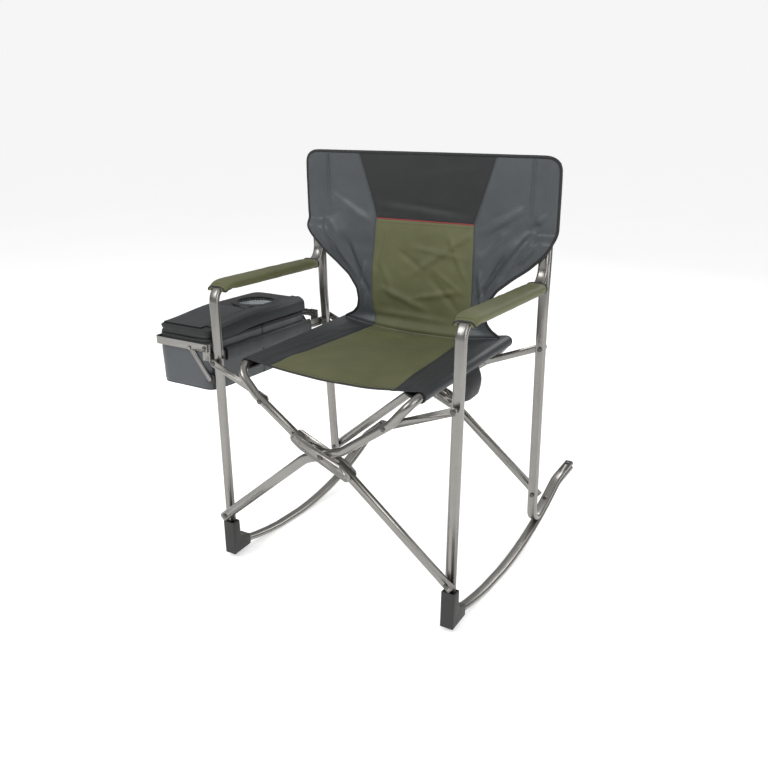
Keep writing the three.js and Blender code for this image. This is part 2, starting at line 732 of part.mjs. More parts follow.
// ---- cloth -----------------------------------------------------------------------------------------
const SLEEVE_GAP = 0.6;
const seatFrom = RAIL_BEND + 1;
const seatTo = REAR_V - RAIL_BEND - 1;

function seatCloth() {
  const inner = RAIL_D / 2 + SLEEVE_GAP;
  const outer = inner + CLOTH_T;
  const top = RAIL[1] + outer;
  const sheet = new THREE.Shape();
  sheet.moveTo(-RAIL[0], top);
  sheet.quadraticCurveTo(0, top - 2 * SEAT_SAG, RAIL[0], top);
  sheet.lineTo(RAIL[0], top - CLOTH_T);
  sheet.quadraticCurveTo(0, top - 2 * SEAT_SAG - CLOTH_T, -RAIL[0], top - CLOTH_T);
  const pull = (shape) => new THREE.ExtrudeGeometry(shape, {
    depth: seatTo - seatFrom,
    bevelEnabled: false,
    curveSegments: 10,
  });
  const sleeve = (sign, radius) => pull(disc(radius)).translate(sign * RAIL[0], RAIL[1], 0);
  const whole = join(pull(sheet), sleeve(-1, outer), sleeve(1, outer));
  const hollow = cut(whole, sleeve(-1, inner), sleeve(1, inner));
  const toCross = new THREE.Matrix4().makeBasis(X_AXIS, W_AXIS, V_AXIS.clone().negate());
  return hollow.applyMatrix4(toCross).applyMatrix4(
    new THREE.Matrix4().makeTranslation(...cross(0, seatTo, 0).toArray()),
  );
}

const tipRoom = TUBE_T + 2 * GAP + HEAD_T + GAP + SLEEVE_GAP; // the cloth clears the arm's tip and bolt
function backCloth() {
  const half = BACK_HALF;
  const [waistX, waistZ] = WAIST;
  const hemX = waistX + 38;
  const hemZ = waistZ - 37;
  const wing = half - 24;
  const outline = new THREE.Shape();
  outline.moveTo(-half + 30, BACK_TOP_Z);
  outline.lineTo(half - 30, BACK_TOP_Z);
  outline.quadraticCurveTo(half, BACK_TOP_Z, half, BACK_TOP_Z - 26);
  outline.lineTo(half, WING_LOW_Z + 55);
  outline.quadraticCurveTo(half, WING_LOW_Z + 24, wing, WING_LOW_Z);
  outline.quadraticCurveTo(waistX + 14, waistZ + 68, waistX, waistZ);
  outline.quadraticCurveTo(waistX + 4, hemZ + 10, hemX, hemZ);
  outline.quadraticCurveTo(0, 2 * BACK_LOW_Z - hemZ, -hemX, hemZ);
  outline.quadraticCurveTo(-waistX - 4, hemZ + 10, -waistX, waistZ);
  outline.quadraticCurveTo(-waistX - 14, waistZ + 68, -wing, WING_LOW_Z);
  outline.quadraticCurveTo(-half, WING_LOW_Z + 24, -half, WING_LOW_Z + 55);
  outline.lineTo(-half, BACK_TOP_Z - 26);
  outline.quadraticCurveTo(-half, BACK_TOP_Z, -half + 30, BACK_TOP_Z);
  // Seen from the side: level with the channels above, stepping forward over the arms' tips below.
  const t = CLOTH_T;
  const side = [
    [0, BACK_TOP_Z + 5],
    [0, CHANNEL_LOW_Z],
    [-tipRoom, TIP_Z + 4],
    [-tipRoom, BACK_LOW_Z - 30],
  ];
  const profile = [...side, ...side.map(([y, z]) => [y + t, z]).reverse()];
  const panel = toGeometry(
    toSolid(slabAlongX(profile, -half - 10, half + 10)).intersect(
      toSolid(slabAlongY(outline, -60, 60, 6)),
    ),
  );
  const channelWidth = TUBE_HALF + SLEEVE_GAP;
  const channelDepth = TUBE_T + 2 * SLEEVE_GAP;
  const channel = (x, grow, low, high) =>
    box(x - channelWidth - grow, x + channelWidth + grow, t - grow, t + channelDepth + grow, low, high);
  const whole = join(
    panel,
    ...[-LEG_X, LEG_X].map((x) => channel(x, t, CHANNEL_LOW_Z, BACK_TOP_Z - 2)),
  );
  const hollow = cut(
    whole,
    ...[-LEG_X, LEG_X].map((x) => channel(x, 0, CHANNEL_LOW_Z - 4, POST_TOP_Z + 1.5)),
  );
  const front = postY(BACK_TOP_Z) - TUBE_T / 2 - SLEEVE_GAP - t;
  hollow.translate(0, 0, -BACK_TOP_Z);
  hollow.applyMatrix4(new THREE.Matrix4().makeShear(0, 0, 0, 0, 0, upperLean));
  return hollow.translate(0, front, BACK_TOP_Z);
}

function sidePouch() {
  const top = RAIL[1] - RAIL_D / 2 - SLEEVE_GAP - CLOTH_T - 0.5;
  const outline = new THREE.Shape();
  outline.moveTo(0, 0);
  outline.lineTo(-4, 10 - POUCH_DEEP);
  outline.quadraticCurveTo(-3, -POUCH_DEEP, 6, -POUCH_DEEP);
  outline.lineTo(18, 1 - POUCH_DEEP);
  outline.quadraticCurveTo(25, 2 - POUCH_DEEP, 23, 12 - POUCH_DEEP);
  outline.lineTo(13, 0);
  const [near, far] = POUCH_V;
  const bag = new THREE.ExtrudeGeometry(outline, {
    depth: far - near,
    bevelEnabled: false,
    curveSegments: 4,
  });
  const toCross = new THREE.Matrix4().makeBasis(X_AXIS, W_AXIS, V_AXIS.clone().negate());
  return bag.applyMatrix4(toCross).applyMatrix4(
    new THREE.Matrix4().makeTranslation(...cross(RAIL[0] - 8, far, top).toArray()),
  );
}

add("seat_cloth", seatCloth(), greenCloth);
add("back_cloth", backCloth(), greyCloth);
add("side_pouch", sidePouch(), blackCloth);

// ---- cooler shelf ------------------------------------------------------------------------------------
const legOuterX = -LEG_X - TUBE_HALF;
const shelfRailX = legOuterX - RAIL_SPACER - BAR_T; // its outer face
const shelfSpan = [SHELF_FRONT_Y, SHELF_BACK_Y];

function shelfRail() {
  const bar = box(
    shelfRailX,
    shelfRailX + BAR_T,
    -12,
    postY(REAR_SHELF_BOLT_Z) + 10,
    SHELF_RAIL_Z - SHELF_RAIL_H / 2,
    SHELF_RAIL_Z + SHELF_RAIL_H / 2,
  );
  const ears = shelfSpan.map((y) =>
    box(
      SHELF_PIVOT_X - 9,
      shelfRailX + 1,
      y + BAR_T / 2 + GAP,
      y + BAR_T * 1.5 + GAP,
      SHELF_RAIL_Z - 8,
      SHELF_Z + 9,
    ),
  );
  return cut(
    join(bar, ...ears),
    hole(SHELF_PIN_R, new THREE.Vector3(shelfRailX, 0, SHELF_BOLT_Z), X_AXIS, 30),
    hole(
      SHELF_PIN_R,
      new THREE.Vector3(shelfRailX, postY(REAR_SHELF_BOLT_Z), REAR_SHELF_BOLT_Z),
      X_AXIS,
      30,
    ),
    ...shelfSpan.map((y) => hole(SHELF_PIN_R, new THREE.Vector3(SHELF_PIVOT_X, y, SHELF_Z), Y_AXIS, 12)),
  );
}

function shelfBolt(y, z) {
  const at = new THREE.Vector3(shelfRailX, y, z);
  const collar = [BAR_T + GAP / 2, BAR_T + RAIL_SPACER - GAP / 2];
  return bolt(SHELF_PIN_R, 0, BAR_T + RAIL_SPACER + TUBE_W, at, X_AXIS, collar, SHELF_HEAD_R);
}

function shelfHoop() {
  const z = SHELF_Z;
  const at = (x, y, bend = 0) => ({ at: new THREE.Vector3(x, y, z), bend });
  const inner = SHELF_PIVOT_X + 8;
  const line = new BentLine(
    [
      at(inner, SHELF_FRONT_Y),
      at(SHELF_OUT_X, SHELF_FRONT_Y, 10),
      at(SHELF_OUT_X, SHELF_BACK_Y, 10),
      at(inner, SHELF_BACK_Y),
    ],
    new THREE.Vector3(0, 0, 1),
  );
  const bar = new THREE.Shape();
  bar.moveTo(-SHELF_BAR_H / 2, -BAR_T / 2);
  bar.lineTo(SHELF_BAR_H / 2, -BAR_T / 2);
  bar.lineTo(SHELF_BAR_H / 2, BAR_T / 2);
  bar.lineTo(-SHELF_BAR_H / 2, BAR_T / 2);
  const drills = shelfSpan.flatMap((y) => [
    hole(SHELF_PIN_R, new THREE.Vector3(SHELF_PIVOT_X, y, z), Y_AXIS, 12),
    hole(SHELF_PIN_R, new THREE.Vector3(BRACE_TOP[0], y, BRACE_TOP[1]), Y_AXIS, 12),
  ]);
  return cut(bentBar(bar, line), ...drills);
}

function hoopPin(y) {
  const at = new THREE.Vector3(SHELF_PIVOT_X, y, SHELF_Z);
  return bolt(SHELF_PIN_R, -BAR_T / 2, BAR_T * 1.5 + GAP, at, Y_AXIS, null, SHELF_HEAD_R);
}

const braceFrom = BAR_T / 2 + GAP;
function brace(y) {
  const top = new THREE.Vector3(BRACE_TOP[0], y, BRACE_TOP[1]);
  const low = new THREE.Vector3(BRACE_FOOT[0], y, BRACE_FOOT[1]);
  const bar = hull(
    rod(6, braceFrom, braceFrom + BRACE_T, top, Y_AXIS, 16),
    rod(6, braceFrom, braceFrom + BRACE_T, low, Y_AXIS, 16),
  );
  const stub = turned(
    [
      [0, -braceFrom - 2],
      [4.5, -braceFrom - 1.2],
      [4.5, -braceFrom],
      [SHELF_PIN_R, -braceFrom],
      [SHELF_PIN_R, braceFrom + 1],
      [0, braceFrom + 1],
    ],
    top,
    Y_AXIS,
  );
  return join(bar, stub);
}

// A block beside the tube whose front rib the brace's end rests on.
function bracePeg(y, tubeY) {
  const z = BRACE_FOOT[1];
  const near = y + braceFrom + BRACE_T + GAP;
  const inside = legOuterX - GAP;
  return join(
    box(BRACE_FOOT[0] - 7, inside, near, near + 3, z - 9, z + 9),
    box(inside - 7, inside, near, tubeY + 5, z - 9, z + 9),
  );
}

add("shelf_rail", shelfRail(), steel);
add("shelf_bolt_front", shelfBolt(0, SHELF_BOLT_Z), blackPlastic);
add("shelf_bolt_rear", shelfBolt(postY(REAR_SHELF_BOLT_Z), REAR_SHELF_BOLT_Z), blackPlastic);
add("shelf_hoop", shelfHoop(), steel);
const tubeY = { front: 0, rear: postY(BRACE_FOOT[1]) };
for (const [place, y] of [["front", SHELF_FRONT_Y], ["rear", SHELF_BACK_Y]]) {
  add("hoop_pin_" + place, hoopPin(y), zinc);
  add("shelf_brace_" + place, brace(y), steel);
  add("brace_peg_" + place, bracePeg(y, tubeY[place]), blackPlastic);
}

// ---- cooler bag ------------------------------------------------------------------------------------
const bagX = [SHELF_OUT_X + BAR_T / 2 + 0.5, shelfRailX - 3.5];
const bagFront = SHELF_FRONT_Y + braceFrom + BRACE_T + GAP + 3 + 1; // clear of the brace and its peg
const bagY = [bagFront, BAG_BACK_Y];

function roundedBox(x0, x1, y0, y1, z0, z1, r) {
  const shape = new THREE.Shape();
  shape.moveTo(x0 + r, y0);
  shape.lineTo(x1 - r, y0);
  shape.absarc(x1 - r, y0 + r, r, -Math.PI / 2, 0);
  shape.absarc(x1 - r, y1 - r, r, 0, Math.PI / 2);
  shape.absarc(x0 + r, y1 - r, r, Math.PI / 2, Math.PI);
  shape.absarc(x0 + r, y0 + r, r, Math.PI, 1.5 * Math.PI);
  const geometry = new THREE.ExtrudeGeometry(shape, {
    depth: z1 - z0,
    bevelEnabled: false,
    curveSegments: 4,
  });
  return geometry.translate(0, 0, z0);
}

function coolerBag() {
  const [x0, x1] = bagX;
  const [y0, y1] = bagY;
  const outer = roundedBox(x0, x1, y0, y1, BAG_LOW_Z, BAG_TOP_Z, 12);
  const w = BAG_WALL;
  return cut(outer, roundedBox(x0 + w, x1 - w, y0 + w, y1 - w, BAG_LOW_Z + w, BAG_TOP_Z + 9, 6));
}

function coolerLid() {
  const [x0, x1] = bagX;
  const [y0, y1] = bagY;
  const z0 = BAG_TOP_Z + GAP;
  const slab = slabAlongX(
    [
      [y0 - 4, z0 + 5],
      [y0, z0],
      [y1, z0],
      [y1 + 2, z0 + 5],
      [y1 + 2, LID_BACK_Z - 5],
      [y1 - 4, LID_BACK_Z],
      [y0 + 165, LID_BACK_Z],
      [y0 + 4, LID_FRONT_Z],
      [y0 - 4, LID_FRONT_Z - 5],
    ],
    x0,
    x1,
  );
  const at = new THREE.Vector3(CUP[0], CUP[1], 0);
  return cut(slab, rod(CUP_R + 2 + GAP, 400, 700, at, new THREE.Vector3(0, 0, 1), 28));
}

function cupNet() {
  const at = new THREE.Vector3(CUP[0], CUP[1], LID_BACK_Z);
  const low = -CUP_DEPTH;
  return turned(
    [
      [0, low],
      [CUP_R - 6, low],
      [CUP_R + 2, low + 8],
      [CUP_R + 2, -1],
      [CUP_R, -1],
      [CUP_R, low + 9],
      [CUP_R - 7, low + 2],
      [0, low + 2],
    ],
    at,
    UP,
    28,
  );
}

function cupRing() {
  const at = new THREE.Vector3(CUP[0], CUP[1], LID_BACK_Z + GAP);
  return turned(
    [
      [CUP_R - 1, 0],
      [CUP_R + CUP_RIM, 0],
      [CUP_R + CUP_RIM - 1, 2.5],
      [CUP_R + 3, 4.5],
      [CUP_R - 1, 3],
      [CUP_R - 1, 0],
    ],
    at,
    UP,
    28,
  );
}

const ZIP_START_Y = bagY[0] + 16;
function zipperPull() {
  const x = bagX[1] + GAP;
  const z = BAG_TOP_Z + 1;
  const slider = box(x, x + 2.6, ZIP_START_Y - 5, ZIP_START_Y + 5, z - 4, z + 4);
  const tab = box(x + 0.8, x + 2.2, ZIP_START_Y - 2.5, ZIP_START_Y + 2.5, z - 22, z - 3);
  return join(slider, tab);
}

add("cooler_bag", coolerBag(), greyCloth);
add("cooler_lid", coolerLid(), blackCloth);
add("cup_net", cupNet(), net);
add("cup_ring", cupRing(), blackPlastic);
add("zipper_pull", zipperPull(), blackPlastic);

// The origin is the middle of the footprint, on the floor.
chair.updateMatrixWorld(true);
const bounds = new THREE.Box3().setFromObject(chair, true);
const middle = bounds.getCenter(new THREE.Vector3());
chair.position.set(-middle.x, -middle.y, -bounds.min.z);

export default chair;
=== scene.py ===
"""A folding camp rocking chair with a sling seat and a drop-down cooler shelf."""

import json
import math

import bmesh
import bpy
from bpy.props import FloatProperty, FloatVectorProperty, PointerProperty
from mathutils import Matrix, Vector, noise


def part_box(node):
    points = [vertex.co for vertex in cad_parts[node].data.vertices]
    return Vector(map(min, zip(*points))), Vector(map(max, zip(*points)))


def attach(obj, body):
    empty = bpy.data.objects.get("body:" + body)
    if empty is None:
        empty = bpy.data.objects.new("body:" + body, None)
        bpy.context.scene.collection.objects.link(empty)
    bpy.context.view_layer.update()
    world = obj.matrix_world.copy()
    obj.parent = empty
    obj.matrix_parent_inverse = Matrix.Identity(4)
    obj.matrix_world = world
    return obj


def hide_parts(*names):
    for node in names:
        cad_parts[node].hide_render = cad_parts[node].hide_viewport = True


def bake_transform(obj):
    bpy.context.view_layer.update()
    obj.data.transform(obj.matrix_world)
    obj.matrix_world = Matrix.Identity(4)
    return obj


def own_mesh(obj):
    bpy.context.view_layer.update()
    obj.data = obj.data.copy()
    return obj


bl_info = {
    "name": "Camp Rocking Chair",
    "version": (1, 0, 0),
    "blender": (4, 5, 0),
    "location": "3D View > Sidebar > Camp Rocker",
    "description": "Cloth, padding, finishes and studio of a folding camp rocking chair",
    "category": "Add Mesh",
}

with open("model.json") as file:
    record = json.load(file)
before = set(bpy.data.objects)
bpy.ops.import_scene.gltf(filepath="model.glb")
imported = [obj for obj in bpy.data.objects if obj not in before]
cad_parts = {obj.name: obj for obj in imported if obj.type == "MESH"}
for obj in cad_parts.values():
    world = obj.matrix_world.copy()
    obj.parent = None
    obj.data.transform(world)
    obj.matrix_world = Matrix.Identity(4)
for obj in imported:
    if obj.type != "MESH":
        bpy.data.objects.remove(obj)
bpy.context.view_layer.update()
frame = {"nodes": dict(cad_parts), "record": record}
MM = 0.001

# ---- places, in millimetres off the chair's middle, the front legs and the floor ----
LEG_BOX = {side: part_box("leg_and_arm_" + side) for side in ("left", "right")}
LEG_X = 292.0
POST_HALF = 12.0
POST_DEEP = 13.0
ARM_Z = 650.0
ARM_TIP_Z = 730.0
ARM_TIP_Y = 380.6
LEG_BEND = 34.0
MID_X = (LEG_BOX["left"][0][0] + LEG_BOX["right"][1][0]) / 2
LEG_Y = LEG_BOX["right"][0][1] + POST_DEEP / 2 * MM
FLOOR_Z = LEG_BOX["right"][1][2] - ARM_TIP_Z * MM
TILT = math.radians(2.5)  # the crossed frames' pivots rise towards the back
PIVOT_Y, PIVOT_Z = -14.5, 117.0
RAIL_X, RAIL_W, RAIL_R = 212.0, 378.0, 9.5
SEAT_V = (31.0, 433.0)
BAG_X = (-470.0, -312.5)
BAG_Y = (-1.4, 347.0)
BAG_FLOOR = 416.0
BAG_ROUND = 12.0  # how square the bag's and the lid's corners are
SHELF_RAIL = (-305.6, 494)  # across and height of the shelf's inner rail
CUP_X, CUP_Y, CUP_R = -381.0, 240.0, 48.3
POUCH_V, POUCH_HALF, POUCH_DEEP = 245.0, 38.0, 58.0
SIDES = (("left", -1), ("right", 1))
UP, BACKWARD = Vector((0, 0, 1)), Vector((0, 1, 0))


def at(x, y, z):
    """A point of the frame from millimetres."""
    return Vector((MID_X + x * MM, LEG_Y + y * MM, FLOOR_Z + z * MM))


def cross(x, v, w):
    """A point given across the chair, back along the crossed frames and up them."""
    y = PIVOT_Y + v * math.cos(TILT) - w * math.sin(TILT)
    z = PIVOT_Z + v * math.sin(TILT) + w * math.cos(TILT)
    return at(x, y, z)


def ease(low, high, value):
    """0 before low, 1 after high, smooth between."""
    t = min(1.0, max(0.0, (value - low) / (high - low)))
    return t * t * (3 - 2 * t)


def ridge(distance, width):
    return math.exp(-((distance / width) ** 2))


def bunched(p):
    """0 to 1, with steps bunched at both ends."""
    return (1 - math.cos(math.pi * p)) / 2


def around(s):
    """Cosine and sine of a share of a full turn."""
    return math.cos(2 * math.pi * s), math.sin(2 * math.pi * s)


def blunt(value, power):
    """A sine or cosine with its peaks squared off, as in a section with rounded corners."""
    return math.copysign(abs(value) ** power, value)


def lumps(x, y, z, size):
    """Smooth unevenness from -1 to 1 whose lumps are about size millimetres."""
    return noise.noise(Vector((x, y, z)) / size)


def walked(line):
    """How far along a line each of its points is."""
    ends = [0.0]
    for a, b in zip(line, line[1:]):
        ends.append(ends[-1] + math.dist(a, b))
    return ends


def steps(ends, count, number):
    """The segment, and the share of it, at each of number even steps along a line."""
    k = 0
    for i in range(number):
        want = ends[-1] * i / count
        while k < len(ends) - 2 and ends[k + 1] < want:
            k += 1
        yield k, (want - ends[k]) / max(ends[k + 1] - ends[k], 1e-9)


def table(rows, value):
    """Values of a table at value, whose rows start with a falling key."""
    if value >= rows[0][0]:
        return rows[0][1:]
    for above, below in zip(rows, rows[1:]):
        if value >= below[0]:
            t = (above[0] - value) / (above[0] - below[0])
            return [a + (b - a) * t for a, b in zip(above[1:], below[1:])]
    return rows[-1][1:]


def fold_height(folds, x, z):
    """Height of cloth folds, each (x0, z0, x1, z1, width, height), at a place."""
    total = 0.0
    for x0, z0, x1, z1, width, height in folds:
        dx, dz = x1 - x0, z1 - z0
        long = math.hypot(dx, dz)
        t = ((x - x0) * dx + (z - z0) * dz) / long**2
        off = ((x - x0) * dz - (z - z0) * dx) / long
        fade = ease(-0.15, 0.2, t) * (1 - ease(0.6, 1.15, t))
        total += height * fade * ridge(off, width * 0.72)
    return total


# ---- settings ----
def colour(name, text, rgb):
    return FloatVectorProperty(
        name=name, description=text, subtype="COLOR", size=3, min=0, max=1, default=rgb
    )


def length(name, text, metres):
    return FloatProperty(name=name, description=text, unit="LENGTH", default=metres, min=0)


class RockerCloth(bpy.types.PropertyGroup):
    """Sizes of the cloth parts."""

    seat_sag: length("Seat sag", "How far the middle of the seat hangs below its rails", 0.016)
    back_bow: length("Back bow", "How far the middle of the back sinks in", 0.008)
    wrinkle: FloatProperty(
        name="Wrinkles", description="How deep the cloth's folds are", default=1.0, min=0, max=2
    )
    cloth: length("Cloth", "Thickness of the sewn cloth", 0.0022)
    piping: length("Piping", "Radius of the bound edges", 0.0026)
    stitch: length("Stitch", "Length of one stitch", 0.0036)
    stitch_step: length("Stitch step", "From one stitch to the next", 0.0056)


class RockerColours(bpy.types.PropertyGroup):
    """Colours of the finishes."""

    green: colour("Green", "Seat, back and arm cloth", (0.128, 0.134, 0.058))
    grey: colour("Grey", "Upper side panels of the back and the cooler", (0.070, 0.080, 0.086))
    # dark grey is also used as painted sheen on the lid's front slope
    dark: colour("Dark grey", "Seat strips and cooler flap", (0.030, 0.035, 0.039))
    black: colour("Black", "Upper panel, lid and binding", (0.016, 0.017, 0.018))
    red: colour("Red", "Piping under the upper panel", (0.30, 0.025, 0.032))
    tube: colour("Tube", "Coated steel tube", (0.27, 0.262, 0.245))
    plastic: colour("Plastic", "Feet", (0.024, 0.024, 0.023))
    thread: colour("Thread", "Stitching", (0.045, 0.050, 0.050))
    net: colour("Net", "Cup holder's net", (0.55, 0.58, 0.60))


class RockerStudio(bpy.types.PropertyGroup):
    """The floor, light and camera."""

    floor: colour("Floor", "Studio floor", (0.93, 0.93, 0.93))
    key: FloatProperty(name="Key light", description="Power of the key light", default=42.0, min=0)
    lens: FloatProperty(
        name="Lens", description="Focal length on a 36 mm frame", default=37.88, min=10
    )
    sky: FloatProperty(name="Sky", description="Brightness all round", default=0.62, min=0)


# ---- finishes ----
WAVE_PITCH = 0.314159  # metres from wave to wave at a scale of 1


class Nodes:
    """A tree of shader nodes being put together."""

    def __init__(self, tree):
        self.tree = tree

    def node(self, kind, **settings):
        made = self.tree.nodes.new("ShaderNode" + kind)
        for key, value in settings.items():
            if hasattr(made, key) and key not in made.inputs:
                setattr(made, key, value)
            else:
                made.inputs[key.replace("_", " ")].default_value = value
        return made

    def link(self, out, into):
        self.tree.links.new(out, into)
        return out

    def coords(self, kind="Object"):
        return self.node("TexCoord").outputs[kind]

    def ramp(self, fac, stops):
        made = self.node("ValToRGB")
        elements = made.color_ramp.elements
        for element, (place, rgb) in zip(elements, (stops[0], stops[-1])):
            element.position = place
            element.color = (*rgb, 1)
        for place, rgb in stops[1:-1]:
            elements.new(place).color = (*rgb, 1)
        self.link(fac, made.inputs[0])
        return made.outputs[0]


class Finish(Nodes):
    """A node material being put together."""

    def __init__(self, name, metallic=0.0, **values):
        self.material = bpy.data.materials.new(name)
        self.material.use_nodes = True
        super().__init__(self.material.node_tree)
        self.shader = self.tree.nodes["Principled BSDF"]
        self.shader.inputs["Metallic"].default_value = metallic
        for socket, value in values.items():
            self.shader.inputs[socket.replace("_", " ")].default_value = value

    def give(self, socket, out):
        """Sends an output to one of the shader's own sockets."""
        self.link(out, self.shader.inputs[socket])

    def roughness(self, value, low, high):
        span = self.node("MapRange", To_Min=low, To_Max=high)
        self.link(value, span.inputs["Value"])
        self.give("Roughness", span.outputs["Result"])

    def math(self, operation, first, second):
        made = self.node("Math", operation=operation)
        for socket, value in zip(made.inputs, (first, second)):
            if isinstance(value, (int, float)):
                socket.default_value = value
            else:
                self.link(value, socket)
        return made.outputs[0]

    def noise(self, where, scale, detail=3.0, roughness=0.5):
        made = self.node("TexNoise", Scale=scale, Detail=detail, Roughness=roughness)
        self.link(where, made.inputs["Vector"])
        return made.outputs["Fac"]

    def wave(self, where, direction, pitch):
        made = self.node("TexWave", bands_direction=direction, Scale=WAVE_PITCH / pitch / 2)
        self.link(where, made.inputs["Vector"])
        return made.outputs["Fac"]

    def bump(self, height, strength, distance, under=None):
        made = self.node("Bump", Strength=strength, Distance=distance)
        self.link(height, made.inputs["Height"])
        if under is not None:
            self.link(under, made.inputs["Normal"])
        return made.outputs["Normal"]


def shade(rgb, factor):
    return tuple(min(1.0, c * factor) for c in rgb)


def woven(name, rgb, pitch=0.0011, roughness=0.62, depth=0.8, lustre=0.04):
    """Coated oxford cloth: a basket weave, patchy dye and small creases."""
    cloth = Finish(name)
    uv, own = cloth.coords("UV"), cloth.coords()
    weave = cloth.math("MULTIPLY", cloth.wave(uv, "X", pitch), cloth.wave(uv, "Y", pitch))
    patchy = cloth.noise(own, 9.0, 4.0, 0.6)
    slub = cloth.noise(uv, 420.0, 2.0, 0.6)
    tone = cloth.math(
        "ADD",
        cloth.math("MULTIPLY", patchy, 0.55),
        cloth.math("ADD", cloth.math("MULTIPLY", weave, 0.25), cloth.math("MULTIPLY", slub, 0.2)),
    )
    dye = cloth.ramp(tone, [(0.22, shade(rgb, 0.72)), (0.48, rgb), (0.78, shade(rgb, 1.32))])
    cloth.give("Base Color", dye)
    cloth.roughness(slub, roughness - 0.08, roughness + 0.14)
    creases = cloth.bump(cloth.noise(own, 34.0, 3.0, 0.55), 0.30, 0.0016)
    cloth.give("Normal", cloth.bump(weave, depth * 0.5, 0.00022, creases))
    cloth.shader.inputs["Sheen Weight"].default_value = lustre
    cloth.shader.inputs["Sheen Roughness"].default_value = 0.45
    return cloth.material


def coated_tube(name, rgb, roughness=0.27, metallic=0.92):
    """Metallic coat on steel: fine flake and rubbed patches."""
    coat = Finish(name, metallic)
    own = coat.coords()
    flake = coat.noise(own, 900.0, 2.0, 0.7)
    patch = coat.noise(own, 22.0, 4.0, 0.6)
    tone = coat.math(
        "ADD", coat.math("MULTIPLY", flake, 0.45), coat.math("MULTIPLY", patch, 0.55)
    )
    base = coat.ramp(tone, [(0.3, shade(rgb, 0.86)), (0.5, rgb), (0.72, shade(rgb, 1.14))])
    coat.give("Base Color", base)
    coat.roughness(patch, roughness - 0.07, roughness + 0.12)
    coat.give("Normal", coat.bump(flake, 0.12, 0.0001))
    coat.shader.inputs["Coat Weight"].default_value = 0.25
    coat.shader.inputs["Coat Roughness"].default_value = 0.25
    return coat.material


def moulded(name, rgb, roughness=0.5):
    """Moulded plastic with a fine spark-eroded grain."""
    skin = Finish(name)
    own = skin.coords()
    grain = skin.noise(own, 700.0, 2.0, 0.6)
    scuff = skin.noise(own, 45.0, 5.0, 0.7)
    base = skin.ramp(scuff, [(0.35, shade(rgb, 0.85)), (0.6, rgb), (0.75, shade(rgb, 1.5))])
    skin.give("Base Color", base)
    skin.roughness(scuff, roughness - 0.08, roughness + 0.16)
    skin.give("Normal", skin.bump(grain, 0.25, 0.00015))
    return skin.material


def twisted(name, rgb, roughness=0.6):
    """Thread, binding tape and net cord: a fine uneven grain on a matt strand."""
    strand = Finish(name)
    ribs = strand.noise(strand.coords(), 1200.0, 2.0, 0.6)
    base = strand.ramp(ribs, [(0.3, shade(rgb, 0.7)), (0.7, shade(rgb, 1.3))])
    strand.give("Base Color", base)
    strand.give("Normal", strand.bump(ribs, 0.4, 0.0002))
    strand.shader.inputs["Roughness"].default_value = roughness
    return strand.material


FINISHES = {}


def finishes():
    """The chair's materials, made once from the chosen colours."""
    if not FINISHES:
        tint = bpy.context.scene.rocker_colours
        FINISHES.update(
            green=woven("green oxford", tint.green, roughness=0.6),
            grey=woven("grey oxford", tint.grey, roughness=0.4, lustre=0.02),
            dark=woven("dark oxford", tint.dark, roughness=0.5, lustre=0.02),
            black=woven("black oxford", tint.black, roughness=0.52, lustre=0.02),
            binding=twisted("black binding", shade(tint.black, 0.8), 0.55),
            red=twisted("red piping", tint.red, 0.5),
            thread=twisted("thread", tint.thread, 0.6),
            net=twisted("net cord", tint.net, 0.45),
            foil=coated_tube("lining foil", shade(tint.net, 1.3), 0.34, 0.55),
            tube=coated_tube("coated tube", tint.tube),
            fastener=coated_tube("dark zinc", shade(tint.tube, 0.42), 0.36),
            foot_plastic=moulded("foot plastic", tint.plastic),
            black_plastic=moulded("black plastic", shade(tint.plastic, 0.5), 0.38),
        )
    return FINISHES


# ---- building ----
def surface(across, along, place, paint=None):
    """A bmesh grid of across by along squares whose corners place(s, t) sets."""
    bm = bmesh.new()
    bmesh.ops.create_grid(bm, x_segments=across, y_segments=along, size=0.5)
    if paint:
        for face in bm.faces:
            middle = face.calc_center_median()
            face.material_index = paint(middle.x + 0.5, middle.y + 0.5)
    for vert in bm.verts:
        vert.co = place(vert.co.x + 0.5, vert.co.y + 0.5)
    bmesh.ops.remove_doubles(bm, verts=bm.verts, dist=1e-6)
    bmesh.ops.recalc_face_normals(bm, faces=bm.faces)
    return bm


def unwrap(bm):
    """Lays the cloth's own map out in metres, by the way each face looks."""
    layer = bm.loops.layers.uv.new("weave")
    bm.normal_update()
    for face in bm.faces:
        n = [abs(c) for c in face.normal]
        turn = n.index(max(n))
        for loop in face.loops:
            co = loop.vert.co
            loop[layer].uv = [(co.y, co.z), (co.x, co.z), (co.x, co.y)][turn]


def piece(name, bm, materials, body, slot, replaces=()):
    """A finished mesh as an object that rides on a body."""
    unwrap(bm)
    mesh = bpy.data.meshes.new(name)
    bm.to_mesh(mesh)
    bm.free()
    for key in materials:
        mesh.materials.append(finishes()[key])
    mesh.polygons.foreach_set("use_smooth", [True] * len(mesh.polygons))
    made = bpy.data.objects.new(name, mesh)
    bpy.context.collection.objects.link(made)
    if body:
        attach(made, body)
    if replaces:
        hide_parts(*replaces)
    return made


def thicken(made, thickness, levels=1):
    wall = made.modifiers.new("cloth", "SOLIDIFY")
    wall.thickness = thickness
    wall.offset = 0
    if levels:
        smooth(made, levels)


def smooth(made, levels=1):
    rounder = made.modifiers.new("smooth", "SUBSURF")
    rounder.levels = rounder.render_levels = levels


